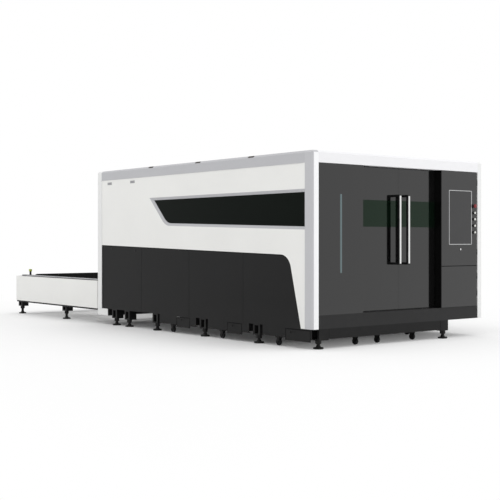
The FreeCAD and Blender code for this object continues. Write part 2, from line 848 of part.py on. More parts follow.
def console_upper_door():
    """Upper door, with the collars of its push buttons and the rim of its lock."""
    door = console_door(console_door_levels()[1])
    collars = []
    for z in (stop_height, *button_heights):
        collars.append(round_bar(collar_radius, (panel_setback - collar_proud, panel_setback),
                                 "y", button_column, z, button_sides))
    rim = round_bar(key_radius * 1.4, (panel_setback - key_radius / 3, panel_setback), "y",
                    *key_place, button_sides)
    door = fused([door, rim, *collars])
    bore = button_stem + running
    for z in (stop_height, *button_heights):
        door = door.cut(round_hole(bore, (-stop_reach, panel_setback + panel_thickness), "y",
                                   button_column, z, round_sides))
    return door.cut(round_hole(key_radius + running, (-stop_reach, panel_setback), "y",
                               *key_place, button_sides))


def screen_outline(inset):
    return rectangle((screen_left + inset, screen_right - inset),
                     (screen_low + inset, screen_high - inset))


def touch_screen():
    """Portrait screen behind a raised surround with round corners."""
    y = (panel_setback - screen_proud, panel_setback)
    outer = prism("y", y, screen_outline(0), {i: screen_radius for i in range(4)})
    inner = prism("y", (y[0] - 1, y[1] + 1), screen_outline(screen_bezel))
    face = prism("y", (y[0] + screen_proud / 3, y[1]), screen_outline(screen_bezel))
    return group([outer.cut(inner), face])


def button_cap(z, radius, reach, travel):
    """Push button: a cap on a stem, standing off its collar by its travel."""
    under = collar_proud + travel + running
    crown = radius * 0.75
    profile = [(0, 0), (button_stem, 0), (button_stem, under), (radius, under),
               (radius, reach - radius / 4), (crown, reach), (0, reach)]
    return turned(profile, V(button_column, panel_setback, z), V(0, -1, 0), button_sides)


def key_lock():
    """Lock barrel with its key slot."""
    x, z = key_place
    r = key_radius
    barrel = round_bar(r, (panel_setback - r * 0.6, panel_setback), "y", x, z, button_sides)
    slot = block((x - r / 8, x + r / 8), (panel_setback - r, panel_setback - r / 4),
                 (z - r * 0.6, z + r * 0.6))
    return barrel.cut(slot)


def electrical_modules():
    """Panel computer behind the screen, and rows of modules behind the lower door."""
    inset = 8 * console_wall
    x0, x1 = door_right + inset, console_right - inset
    back = console_back - console_wall
    modules = [block((screen_left, screen_right), (back - module_depth, back),
                     (screen_low, screen_high))]
    width = (x1 - x0) / module_columns
    rows = int((console_seam - fascia_top) // module_pitch)
    for row in range(rows):
        z = fascia_top + module_pitch / 2 + row * module_pitch
        for i in range(module_columns):
            deep = module_depth * (0.7 + 0.1 * ((i + row) % 3))
            modules.append(block((x0 + i * width, x0 + (i + 0.9) * width), (back - deep, back),
                                 (z, z + module_height)))
    return group(modules)


# ---- bed --------------------------------------------------------------------------------------
def main_beams():
    """The two long box beams, with long windows cut through their webs."""
    half = main_beam[0] / 2
    y = (door_recess + tube_size[0], main_end)
    low, high = tube_top + 0.1 * main_beam[1], tube_top + 0.3 * main_beam[1]
    beams = []
    for x in (beam_left, beam_right):
        beam = block((x - half, x + half), y, (tube_top, main_top))
        for near, far in zip(side_feet, side_feet[1:]):
            quarter = (far - near) / 4
            beam = beam.cut(block((x - half - 1, x + half + 1),
                                  (near + quarter, far - quarter), (low, high)))
        beams.append(beam)
    return group(beams)


def cross_tubes():
    """Cross tubes under the main beams; they also carry the side panels."""
    depth = tube_size[0]
    inner = panel_setback + panel_thickness
    z = (sill_height, tube_top)
    between_posts = (post_front, enclosure_width - post_front)
    wall_face = enclosure_length - inner
    tubes = [block(between_posts, (door_recess, door_recess + depth), z),
             block(between_posts, (wall_face - depth, wall_face), z)]
    for y in side_feet:
        tubes.append(block((inner, enclosure_width - inner), (y - depth / 2, y + depth / 2), z))
    half = main_beam[0] / 2
    for y in caster_side:
        for x in ((inner, beam_left + half), (beam_right - half, bed_right)):
            tubes.append(block(x, (y - depth / 3, y + depth / 3), z))
    return tubes


def drawer_runners():
    """Angle runners across the bed, hung under the main beams, a pair for each slag drawer."""
    x = (beam_left - main_beam[0] / 2, beam_right + main_beam[0] / 2)
    low = drawer_bottom - runner - running
    runners = []
    for _, far, near in drawers:
        for y, inward in ((near, 1), (far, -1)):
            runners.append(prism("x", x, [
                (y, low + runner), (y, tube_top), (y - inward * runner, tube_top),
                (y - inward * runner, low), (y + inward * runner_foot, low),
                (y + inward * runner_foot, low + runner)]))
    return runners


def rear_sill_beam():
    """Light sill under the rear end of the bed, where the exchange table is bolted on."""
    inner = 2 * panel_setback
    return box_tube((inner, bed_right - inner), rear_sill, (rear_sill_bottom, sill_height),
                    bracket_wall, "x")


def underframe():
    return group([*cross_tubes(), *drawer_runners(), rear_sill_beam()])


def opposite_feet(y, right, bottom):
    """Two feet that stand opposite each other between the outer faces x = 0 and x = right."""
    wide, deep = foot_bracket
    depth = (y - deep / 2, y + deep / 2)
    near = (bracket_inset, bracket_inset + wide)
    far = (right - near[1], right - near[0])
    return [(stud_inset, y, near, depth, bottom), (right - stud_inset, y, far, depth, bottom)]


def corner_brackets():
    """x and y spans of the brackets at the front corners, window side first."""
    left, front = post_front + corner_gap, panel_setback
    right = bed_right - panel_setback
    return [((left, left + corner_bracket[0]), (front, front + corner_bracket[1])),
            ((right - plain_corner_bracket[0], right), (front, front + plain_corner_bracket[1]))]


def foot_places():
    """(x, y, x and y span of the bracket, bottom of the bracket) of every levelling foot."""
    feet = []
    for y in side_feet:
        feet += opposite_feet(y, bed_right, bracket_bottom)
    window_side, plain_side = corner_brackets()
    feet += [(*corner_stud, *window_side, bracket_bottom),
             (bed_right - plain_corner_stud[0], plain_corner_stud[1], *plain_side, bracket_bottom)]
    for y in table_feet:
        feet += opposite_feet(y, table_width, table_bracket_bottom)
    return feet


def bracket_top(bottom):
    """Height at which a foot bracket meets the frame above it."""
    return sill_height if bottom == bracket_bottom else table_skirt_low - table_strip


def foot_brackets():
    """Welded foot boxes with a window in each side, through which the stud nut is turned."""
    brackets = []
    t = bracket_wall
    for x, y, wide, deep, bottom in foot_places():
        top = bracket_top(bottom)
        box = block(wide, deep, (bottom, top))
        space = block((wide[0] - 1, wide[1] + 1), (deep[0] + 4 * t, deep[1] - 4 * t),
                      (bottom + 2 * t, top - 2 * t))
        bore = round_hole(stud_radius + running, (bottom - 1, bottom + 3 * t), "z", x, y,
                          bolt_sides)
        brackets.append(box.cut(space).cut(bore))
    return group(brackets)


def levelling_feet():
    """Coned pads, each with its neck, its stud and a tall hexagon nut under the bracket."""
    feet = []
    for x, y, _, _, bottom in foot_places():
        nut_low = bottom - nut_height
        pad = turned([(0, 0), (pad_radius, 0), (pad_radius, pad_rim), (neck_radius, pad_height),
                      (neck_radius, nut_low), (0, nut_low)], V(x, y, 0), V(0, 0, 1), button_sides)
        nut = round_bar(nut_size / 2, (nut_low, bottom), "z", x, y, bolt_sides)
        stud = round_bar(stud_radius, (bottom, bottom + 5 * bracket_wall), "z", x, y, bolt_sides)
        feet.append(fused([pad, nut, stud]))
    return group(feet)


def bed_skirts():
    """Sheet skirts below the panels, cut out round the feet and the slag drawers."""
    t = 2 * sheet
    low, high = skirt_bottom, sill_height
    front = dark_setback
    hem_back = front + 4 * t
    side = block((front, front + t), (post_radius, skirt_end), (low, high))
    hem = block((front, hem_back), (post_radius, skirt_end), (low, low + t))
    side = fused([side, hem])
    through = (front - 1, hem_back + 1)
    cuts = []
    deep = foot_bracket[1] / 2
    for y in side_feet[:3]:
        cuts.append(block(through, (y - pocket_near - deep, y + pocket_far + deep),
                          (0, sill_height)))
    for near, far, _ in drawers:
        cuts.append(block(through, (near - sheet, far + sheet), (0, drawer_top + sheet)))
    for y in caster_side:
        half = caster_inset / 2 + sheet
        cuts.append(block((front + t, hem_back + 1), (y - half, y + half), (0, sill_height)))
    side = side.cut(group(cuts))
    window_side, plain_side = corner_brackets()
    face = block((window_side[0][1] + skirt_gap, plain_side[0][0] - skirt_gap),
                 (panel_setback, panel_setback + t), (low, high))
    plain = block((bed_right - t, bed_right),
                  (plain_side[1][1] + skirt_gap, side_feet[0] - deep - skirt_gap), (low, high))
    return group([*side.Solids, face, plain])


def caster_rows():
    """(y, x places) of the casters that stand in line across the machine, front row first."""
    sides = (caster_inset, bed_right - caster_inset)
    return [(door_recess + tube_size[0] / 2, caster_front)] + [(y, sides) for y in caster_side]


def caster_forks():
    """Square legs with the forks and axles of the transport casters."""
    side = caster_inset / 2
    centre = caster_radius + caster_lift
    top = centre + caster_radius + 3 * caster_cheek
    inner = caster_width / 2 + 2 * running
    outer = inner + caster_cheek
    eye = 2 * caster_axle
    forks = []
    for y, places in caster_rows():
        for x in places:
            leg = block((x - side, x + side), (y - side, y + side), (top, sill_height))
            fork = prism("x", (x - outer, x + outer), [
                (y - caster_axle, centre - eye), (y + caster_axle, centre - eye),
                (y + side, top), (y - side, top)])
            space = block((x - inner, x + inner), (y - side - 1, y + side + 1),
                          (0, top - caster_cheek))
            axle = round_bar(caster_axle, (x - outer, x + outer), "x", y, centre, bolt_sides)
            forks.append(fused([leg, fork.cut(space), axle]))
    return group(forks)


def caster_wheels(row):
    """The wheels of one row, which turn on the forks' axles."""
    y, places = row
    r, half = caster_radius, caster_width / 2
    wheels = []
    for x in places:
        span = (x - half, x + half)
        tread = round_bar(r, span, "x", y, r + caster_lift, button_sides)
        wheels.append(tread.cut(round_hole(caster_axle + running, span, "x", y, r + caster_lift,
                                           bolt_sides)))
    return group(wheels)


def slag_drawer(near, far, tray_near):
    """Slag drawer: a long sheet tray behind a front plate with a pull slot."""
    wall = 2 * sheet
    face = dark_setback
    plate = block((face, face + wall), (near, far), (drawer_front_bottom, drawer_top))
    middle = (tray_near + far) / 2
    slot = prism("x", (face - 1, face + 2 * wall + 1), cut_corners(
        (middle - pull_slot[0] / 2, middle + pull_slot[0] / 2),
        (drawer_top - 2 * pull_slot[1], drawer_top - pull_slot[1]), pull_slot[1] / 3))
    y0, y1 = tray_near + 2 * running, far - 2 * running
    tray = block((face + wall, drawer_length), (y0, y1), (drawer_bottom, drawer_top - wall))
    hollow = block((face + 2 * wall, drawer_length - wall), (y0 + wall, y1 - wall),
                   (drawer_bottom + wall, drawer_top))
    return fused([plate, tray.cut(hollow)]).cut(slot)


def inner_partition():
    """Sheet wall between the cutting space and the supply bay, notched under the rear beam."""
    x = (partition_place, partition_place + 2 * sheet)
    near = door_recess + tube_size[0] + track_gap
    far = enclosure_length - panel_setback - panel_thickness
    wall = prism("x", x, [
        (near, tube_top), (far, tube_top), (far, beam_under), (enclosure_length - beam_width,
         beam_under), (enclosure_length - beam_width, roof_under), (near, roof_under)])
    fold = block((x[1], x[1] + 10 * sheet), (near, near + 2 * sheet), (tube_top, roof_under))
    return fused([wall, fold])


# ---- motion system ----------------------------------------------------------------------------
def profile_rail(centre, base):
    """Section of a linear rail: foot, waist and crown, as points about its centre line."""
    w, h = rail_width / 2, rail_height
    half = [(w, 0), (w, 0.3 * h), (0.65 * w, 0.45 * h), (0.65 * w, 0.6 * h), (w, 0.75 * h),
            (w, h)]
    points = half + [(-a, b) for a, b in reversed(half)]
    return [(centre + a, base + b) for a, b in points]


def bed_tracks():
    """Linear rails and racks on the main beams, and the ledges the pallet rollers run on."""
    y = (door_recess + tube_size[0] + rail_width, rear_sill[0])
    half = main_beam[0] / 2
    rack = 0.7 * rail_width
    pieces = []
    for x, side in ((beam_left, 1), (beam_right, -1)):
        pieces.append(prism("y", y, profile_rail(x, main_top)))
        a, b = sorted((x + side * rack, x + side * (rack + rack_size)))
        pieces.append(block((a, b), y, (main_top, main_top + rack_size)))
        a, b = sorted((x + side * half, bed_centre - side * (pallet_width / 2 + track_gap)))
        pieces.append(block((a, b), (pallet_inside - 2 * roller[1], main_end),
                            (track_top - track_thickness, track_top)))
    return group(pieces)


def portal_section():
    """Section of the gantry beam in (y, z): upright front, sloping back."""
    y0 = head_y + portal_gap
    y1 = y0 + portal_depth
    rise = portal_high - portal_low
    return [(y0, portal_low), (y1, portal_low), (y1, portal_low + 0.45 * rise),
            (y0 + 0.55 * portal_depth, portal_high), (y0, portal_high)]


def gantry():
    """Gantry beam on two end trucks whose feet straddle the long rails, with its cross rails."""
    half = main_beam[0] / 2
    x = (beam_left - half, beam_right + half)
    front = head_y + portal_gap
    beam = prism("x", x, portal_section())
    ends = []
    y0 = front - (truck_length - portal_depth) / 2
    y1 = y0 + truck_length
    crown = main_top + rail_height
    low, bevel = crown + running, truck_shoulder
    for centre in (beam_left, beam_right):
        ends.append(prism("x", (centre - half, centre + half), [
            (y0, low), (y1, low), (y1, crown + bevel), (y1 - bevel, portal_low),
            (y0 + bevel, portal_low), (y0, crown + bevel)]))
        for y in (y0, y1 - block_length):
            for side in (-1, 1):
                near = rail_width / 2 + running
                a, b = sorted((centre + side * near, centre + side * (near + block_wall)))
                ends.append(block((a, b), (y, y + block_length), (crown - block_drop, low)))
    rails = []
    for z in cross_rail_heights:
        rails.append(block((x[0] + cross_rail_end, x[1] - cross_rail_end),
                           (front - rail_height, front),
                           (z - rail_width / 2, z + rail_width / 2)))
    return group([fused([beam, *ends]), *rails])


def carriage():
    """Carriage: a cover with a sloping top over the blocks on the cross rails."""
    x = (bed_centre - carriage_half, bed_centre + carriage_half)
    back = head_y + portal_gap - rail_height - running
    front = head_y + carriage_face
    top = carriage_high + hood_rise
    plate = block(x, (front, back), (carriage_low, carriage_high))
    over = head_y + portal_gap + hood_lap
    hood = prism("x", x, [
        (front, portal_high + hood_gap), (over, portal_high + hood_gap),
        (over, carriage_high - hood_rise), (front + hood_rise, top), (front, top)])
    cheeks = []
    for a, b in ((x[0], x[0] + cheek_wall), (x[1] - cheek_wall, x[1])):
        cheeks.append(prism("x", (a, b), [
            (head_y + cheek_low, carriage_low), (front, carriage_low), (front, top),
            (head_y + cheek_high, top)]))
    return fused([plate, hood, *cheeks])


def cutting_head():
    """Head on its vertical slide: collimator, focusing body, cone and nozzle."""
    r = head_radius
    back = head_y + carriage_face - running
    slide_face = back - slide_depth
    slide = block((bed_centre - slide_half, bed_centre + slide_half), (slide_face, back),
                  (nozzle_height + slide_foot, carriage_high))
    head = turned([
        (0, 0), *nozzle_profile, (0.55 * r, nozzle_top), (r, body_low), (r, body_high),
        (0.8 * r, collimator_low), (0.8 * r, collimator_high), (0.5 * r, connector_low),
        (0.5 * r, head_top), (0, head_top)],
        V(bed_centre, head_y, nozzle_height), V(0, 0, 1), button_sides)
    clamp = block((bed_centre - r, bed_centre + r), (head_y, slide_face),
                  (nozzle_height + clamp_span[0], nozzle_height + clamp_span[1]))
    return fused([slide, clamp, head])


# ---- pallets and exchange table ---------------------------------------------------------------
def pallet(start, level):
    """Pallet: a channel frame on side rollers, with a row of support slats across it."""
    w, h = pallet_frame
    web = pallet_web
    half = pallet_width / 2
    low = level + running + roller[0] - h * roller_sink
    y = (start, start + pallet_length)
    bars = []
    for side in (-1, 1):
        outer = bed_centre + side * half
        lip, back = outer - side * w, outer - side * web
        bars.append(prism("y", y, [
            (outer, low), (lip, low), (lip, low + web), (back, low + web),
            (back, low + h - web), (lip, low + h - web), (lip, low + h), (outer, low + h)]))
    for end in (y[0], y[1] - w):
        bars.append(block((bed_centre - half, bed_centre + half), (end, end + w), (low, low + h)))
    frame = fused(bars)
    slats = []
    inner = half - w
    count = int((pallet_length - 2 * w - slat_pitch / 2) // slat_pitch)
    first = start + (pallet_length - (count - 1) * slat_pitch) / 2
    slat_low = low + h - slat_seat
    for i in range(count):
        y0 = first + i * slat_pitch - slat[0] / 2
        slats.append(block((bed_centre - inner, bed_centre + inner), (y0, y0 + slat[0]),
                           (slat_low, slat_low + slat[1])))
    rollers = []
    for share in roller_shares:
        for a, b in ((bed_centre - half - roller[1], bed_centre - half),
                     (bed_centre + half, bed_centre + half + roller[1])):
            rollers.append(round_bar(roller[0], (a, b), "x", start + share * pallet_length,
                                     level + roller[0] + running, round_sides))
    return group([frame, *slats, *rollers])


def column_centres():
    """(x, y) of the four guide columns."""
    reach = deck_half + column_gap
    return [(bed_centre + side * reach, y) for y in column_places for side in (-1, 1)]


def deck_side(side, bottom):
    """One long channel of the deck, with a ledge for the rollers at each level."""
    ledge_in = pallet_width / 2 + track_gap
    t = track_thickness
    lower = track_top - lift_stroke
    inner, outer, top = deck_inner, deck_half, track_top + 3 * t
    section = [
        (inner, bottom), (outer, bottom), (outer, top), (inner, top), (inner, track_top),
        (ledge_in, track_top), (ledge_in, track_top - t), (inner, track_top - t),
        (inner, lower), (ledge_in, lower), (ledge_in, lower - t), (inner, lower - t)]
    y = (enclosure_length + deck_front_gap, table_end - deck_end_gap)
    return prism("y", y, [(bed_centre + side * u, v) for u, v in section])


def lift_deck():
    """Lifting deck: two long channels on three cross bars, with a guide round each column."""
    bottom = track_top - lift_stroke - track_thickness - deck_depth
    pieces = [deck_side(side, bottom) for side in (-1, 1)]
    wide, tall = deck_bar
    for centre in (column_places[0], sum(column_places) / 2, column_places[1]):
        pieces.append(block((bed_centre - deck_half, bed_centre + deck_half),
                            (centre - wide / 2, centre + wide / 2), (bottom - tall, bottom)))
    height = (bottom, bottom + guide_height)
    collar = column_radius + 3 * track_thickness / 2
    for x, y in column_centres():
        a, b = sorted((x, bed_centre + math.copysign(deck_half, x - bed_centre)))
        pieces.append(block((a, b), (y - guide_width / 2, y + guide_width / 2), height))
        pieces.append(round_bar(collar, height, "z", x, y, round_sides))
    deck = fused(pieces)
    for x, y in column_centres():
        deck = deck.cut(sliding_hole(column_radius, (bottom - tall - 1, height[1] + 1), "z",
                                     x, y, round_sides))
    return deck


def lift_columns():
    """Guide columns with the screw jacks that raise the deck."""
    r, top = column_radius, column_height
    wide, thick = column_foot
    profile = [(0, 0), (wide, 0), (wide, thick), (r, thick), (r, top), (0, top)]
    return group([turned(profile, V(x, y, table_skirt_low), V(0, 0, 1), round_sides)
                  for x, y in column_centres()])


def table_side(y):
    """One long side of the table frame: bottom strip, web, uprights and the stepped rail."""
    low = table_skirt_low - table_strip
    under = table_skirt_high - table_rail_drop
    inner, outer = skirt_wall, skirt_wall + table_rail_width
    step = inner + table_rail_step
    half = upright_width / 2
    side = [block((inner - strip_lap, outer), y, (low, table_skirt_low)),
            block((inner, inner + strip_lap), y, (table_skirt_low, table_skirt_high))]
    for upright in (y[0] + upright_width, *table_feet, y[1] - last_upright):
        side.append(block((inner, outer), (upright - half, upright + half),
                          (table_skirt_low, under)))
    side.append(prism("y", (y[0], table_end - end_beam - rail_end_gap), [
        (inner, under), (outer, under), (outer, table_rail_top), (step, table_rail_top),
        (step, table_skirt_high), (inner, table_skirt_high)]))
    return side


def exchange_frame():
    """Welded table frame: two long sides, cross ties and the end beam with its raised middle."""
    low = table_skirt_low - table_strip
    under = table_skirt_high - table_rail_drop
    inner = skirt_wall
    pieces = table_side((enclosure_length, table_end - skirt_wall))
    pieces += [mirrored_x(piece, bed_centre) for piece in pieces]
    for centre in column_places:
        pieces.append(block((inner, table_width - inner),
                            (centre - tie_width / 2, centre + tie_width / 2),
                            (low, table_skirt_low)))
    rise, drop = end_shoulder, end_shoulder - end_drop
    pieces.append(prism("y", (table_end - end_beam, table_end - skirt_wall), [
        (inner, low), (table_width - inner, low), (table_width - inner, under),
        (table_width - drop, under), (table_width - rise, table_rail_top),
        (rise, table_rail_top), (drop, under), (inner, under)]))
    return fused(pieces)


def exchange_skirts():
    """White skirts on both long sides and across the end of the table."""
    t = skirt_wall
    z = (table_skirt_low, table_skirt_high)
    y = (enclosure_length, table_end)
    left = block((0, t), y, z)
    end = block((t, table_width - t), (table_end - t, table_end), z)
    return group([left, mirrored_x(left, bed_centre), end])


def guard_posts():
    """Short sensor posts on the side rails near the end of the table."""
    posts = []
    y = guard_place
    stem_half, cap_half = guard_stem[0] / 2, guard_cap[0] / 2
    cap_low = table_rail_top + guard_stem[1]
    for x in (guard_inset, table_width - guard_inset):
        stem = block((x - stem_half, x + stem_half), (y - stem_half, y + stem_half),
                     (table_rail_top, cap_low))
        cap = prism("z", (cap_low, cap_low + guard_cap[1]), cut_corners(
            (x - cap_half, x + cap_half), (y - cap_half, y + cap_half), cap_half / 3))
        posts.append(fused([stem, cap]))
    return group(posts)


# ---- the machine ------------------------------------------------------------------------------
def pieces():
    """Every node of the machine by name, in modelling coordinates."""
    post = corner_post()
    across, along = enclosure_width / 2, enclosure_length / 2
    rear_post = mirrored_y(post, along)
    named = {
        "main_beams": main_beams(),
        "underframe": underframe(),
        "bed_tracks": bed_tracks(),
        "bed_skirts": bed_skirts(),
        "foot_brackets": foot_brackets(),
        "levelling_feet": levelling_feet(),
        "caster_forks": caster_forks(),
        "corner_post_front_left": post,
        "corner_post_front_right": mirrored_x(post, across),
        "rear_corner_posts": group([rear_post, mirrored_x(rear_post, across)]),
        "top_beam_front": top_beam_front(),
        "side_and_rear_beams": group([top_beam_left(), top_beam_right(), top_beam_rear()]),
        "roof_panels": roof_panels(),
        "left_upper_panel": left_upper_panel(),
        "left_lower_panels": left_lower_panels(),
        "side_window_frame": side_window_frame(),
        "side_window_glass": side_window_glass(),
        "panel_fittings": group([*panel_fittings(), *roof_plugs()]),
        "right_upper_panel": right_upper_panel(),
        "right_lower_panels": right_lower_panels(),
        "rear_wall": rear_wall(),
        "front_fixed_panel": front_fixed_panel(),
        "base_fascia": base_fascia(),
        "light_strip": light_strip(),
        "door_tracks": door_tracks(),
        "door_leaf_left": door_leaf(False),
        "door_leaf_right": door_leaf(True),
        "door_glass_left": door_glass(False),
        "door_glass_right": door_glass(True),
        "handle_left": handle(False),
        "handle_right": handle(True),
        "control_console": control_console(),
        "electrical_modules": electrical_modules(),
        "console_upper_door": console_upper_door(),
        "console_lower_door": console_lower_door(),
        "touch_screen": touch_screen(),
        "emergency_stop": button_cap(stop_height, stop_radius, stop_reach, stop_travel),
        "key_lock": key_lock(),
        "inner_partition": inner_partition(),
        "gantry": gantry(),
        "carriage": carriage(),
        "cutting_head": cutting_head(),
        "pallet_inner": pallet(pallet_inside, track_top),
        "pallet_outer": pallet(pallet_outside, track_top - lift_stroke),
        "lift_deck": lift_deck(),
        "lift_columns": lift_columns(),
        "exchange_frame": exchange_frame(),
        "exchange_skirts": exchange_skirts(),
        "guard_posts": guard_posts(),
    }
    for number, z in enumerate(button_heights, start=1):
        named[f"push_button_{number}"] = button_cap(z, button_radius, button_reach, button_travel)
    for number, drawer in enumerate(drawers, start=1):
        named[f"slag_drawer_{number}"] = slag_drawer(*drawer)
    for number, row in enumerate(caster_rows(), start=1):
        named[f"caster_wheels_{number}"] = caster_wheels(row)
    return named


def main():
    os.makedirs("parts", exist_ok=True)
    shift = V(-enclosure_width / 2, -(table_end - stop_reach + panel_setback) / 2, 0)
    for name, shape in pieces().items():
        shape.translate(shift)
        shape.exportStep(f"parts/{name}.step")


main()
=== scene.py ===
"""Looks of the fibre laser cutting machine: finishes, detailed pieces, studio and camera."""
import logging
import math
from dataclasses import dataclass, replace
from enum import Enum
from typing import Any, Callable, Optional, Sequence, Union

import bmesh
import bpy
from mathutils import Matrix, Vector


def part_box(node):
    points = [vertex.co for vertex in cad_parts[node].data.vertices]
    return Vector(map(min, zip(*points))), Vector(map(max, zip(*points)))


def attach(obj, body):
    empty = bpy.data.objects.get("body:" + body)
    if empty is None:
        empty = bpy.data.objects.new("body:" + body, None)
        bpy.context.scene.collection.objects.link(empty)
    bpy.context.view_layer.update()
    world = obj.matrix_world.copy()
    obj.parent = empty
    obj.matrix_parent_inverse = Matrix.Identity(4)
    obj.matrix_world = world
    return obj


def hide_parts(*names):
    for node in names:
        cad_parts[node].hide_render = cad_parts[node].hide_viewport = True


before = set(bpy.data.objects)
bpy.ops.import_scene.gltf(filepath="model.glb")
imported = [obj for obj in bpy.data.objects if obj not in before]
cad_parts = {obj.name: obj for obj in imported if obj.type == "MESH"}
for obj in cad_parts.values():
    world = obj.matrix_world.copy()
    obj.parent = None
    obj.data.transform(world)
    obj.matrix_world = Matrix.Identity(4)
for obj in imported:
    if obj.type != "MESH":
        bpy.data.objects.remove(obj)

log = logging.getLogger("laser_cutter")
Point = tuple[float, float, float]
Colour = tuple[float, float, float]
Number = Union["Field", float, int]

CENTRE_X = -0.325              # middle of the bed and of the exchange table
FRONT_Y = -3.868               # front plane of the enclosure
LEFT_X = -1.525                # plane of the window side
BED_RIGHT = 2.374              # right face of the bed, from the window side
TABLE_WIDTH = 2.400            # width of the exchange table
FOOT_INSET = 0.062             # feet and casters to the side faces


def along(metres: float) -> float:
    """Return the frame's y of a place this far behind the front plane."""
    return FRONT_Y + metres


def across(metres: float) -> float:
    """Return the frame's x of a place this far from the window side."""
    return LEFT_X + metres


class Body(str, Enum):
    """The bodies that new pieces ride on."""

    MACHINE = "machine"
    LEFT_DOOR = "left_door"
    RIGHT_DOOR = "right_door"
    UPPER_DOOR = "upper_console_door"
    LOWER_DOOR = "lower_console_door"
    STOP = "emergency_stop"
    KEY = "key_lock"
    GANTRY = "gantry"
    HEAD = "cutting_head"
    INNER_PALLET = "inner_pallet"
    OUTER_PALLET = "outer_pallet"


class Facing(Enum):
    """Directions that round parts and screws point in."""

    UP = (0.0, 0.0, 1.0)
    FRONT = (0.0, -1.0, 0.0)
    BACK = (0.0, 1.0, 0.0)
    LEFT = (-1.0, 0.0, 0.0)
    RIGHT = (1.0, 0.0, 0.0)

    def frame_at(self, place: Point) -> Matrix:
        """Return the matrix that stands a part on a place, its z along this direction."""
        turn = Vector((0, 0, 1)).rotation_difference(Vector(self.value))
        return Matrix.Translation(place) @ turn.to_matrix().to_4x4()


Spot = tuple[Point, Facing]    # a place and the direction that a part stands in there
HERE = Matrix.Identity(4)
# Stands for outlines drawn in y and z, pushed along x, and drawn in x and z, pushed along y.
PUSHED_ALONG_X = Matrix(((0, 0, 1, 0), (1, 0, 0, 0), (0, 1, 0, 0), (0, 0, 0, 1)))
PUSHED_ALONG_Y = Matrix(((1, 0, 0, 0), (0, 0, 1, 0), (0, 1, 0, 0), (0, 0, 0, 1)))


# ---- node trees ---------------------------------------------------------------------------------
def math_operator(operation: str, swapped: bool = False) -> Callable[["Field", Number], "Field"]:
    """Return an operator method that adds one Math node.

    Args:
        operation: The node's operation.
        swapped: Whether the other value comes first, as in a reflected operator.

    Returns:
        The method.
    """
    def apply(self: "Field", other: Number) -> "Field":
        """Return the node's result."""
        first, second = (other, self) if swapped else (self, other)
        return self.math(operation, first, second)
    return apply


class Field:
    """A socket that is used in Python expressions; each operator adds a Math node."""

    def __init__(self, tree: "Tree", socket: bpy.types.NodeSocket) -> None:
        """Wrap one output socket of a tree."""
        self.tree = tree
        self.socket = socket

    def math(self, operation: str, first: Number, second: Number = 0.0) -> "Field":
        """Return the result of a Math node."""
        return self.tree.node("ShaderNodeMath", {"operation": operation},
                              {0: first, 1: second})[0]

    __add__ = math_operator("ADD")
    __radd__ = math_operator("ADD", swapped=True)
    __sub__ = math_operator("SUBTRACT")
    __rsub__ = math_operator("SUBTRACT", swapped=True)
    __mul__ = math_operator("MULTIPLY")
    __rmul__ = math_operator("MULTIPLY", swapped=True)
    __truediv__ = math_operator("DIVIDE")

    def __abs__(self) -> "Field":
        """Return the size of self without its sign."""
        return self.math("ABSOLUTE", self)

    def clamped(self) -> "Field":
        """Return self held between 0 and 1."""
        return self.math("MINIMUM", self.or_more(0.0), 1.0)

    def rises(self, low: float, high: float) -> "Field":
        """Return a ramp that goes from 0 at low to 1 at high."""
        return ((self - low) / (high - low)).clamped()

    def or_more(self, other: Number) -> "Field":
        """Return the larger of self and other."""
        return self.math("MAXIMUM", self, other)


class Step:
    """A node that has been added; its outputs come out as fields."""

    def __init__(self, tree: "Tree", node: bpy.types.Node) -> None:
        """Keep the node with its tree."""
        self.tree = tree
        self.node = node

    def __getitem__(self, key: Union[int, str]) -> Field:
        """Return the output with this name or number."""
        return Field(self.tree, self.node.outputs[key])


class Tree:
    """A node tree that is filled through one method."""

    def __init__(self, tree: bpy.types.NodeTree) -> None:
        """Start on an empty tree."""
        self.tree = tree
        self.tree.nodes.clear()

    def node(self, kind: str, settings: Optional[dict[str, Any]] = None,
             inputs: Optional[dict[Union[int, str], Any]] = None) -> Step:
        """Add one node.

        Args:
            kind: The node's type.
            settings: Its properties, such as a Math node's operation or a ramp's stops.
            inputs: A value or a field for each socket, by name or number.

        Returns:
            The node, whose outputs are read by name or number.
        """
        made = self.tree.nodes.new(kind)
        for key, value in (settings or {}).items():
            if key == "stops":
                self._set_stops(made.color_ramp, value)
            else:
                setattr(made, key, value)
        for key, value in (inputs or {}).items():
            if isinstance(value, Field):
                self.tree.links.new(value.socket, made.inputs[key])
            else:
                made.inputs[key].default_value = value
        return Step(self, made)

    @staticmethod
    def _set_stops(ramp: bpy.types.ColorRamp, stops: Sequence[tuple[float, Colour]]) -> None:
        """Give a colour ramp these stops."""
        while len(ramp.elements) < len(stops):
            ramp.elements.new(1.0)
        for element, (place, colour) in zip(ramp.elements, stops):
            element.position = place
            element.color = (*colour, 1.0)


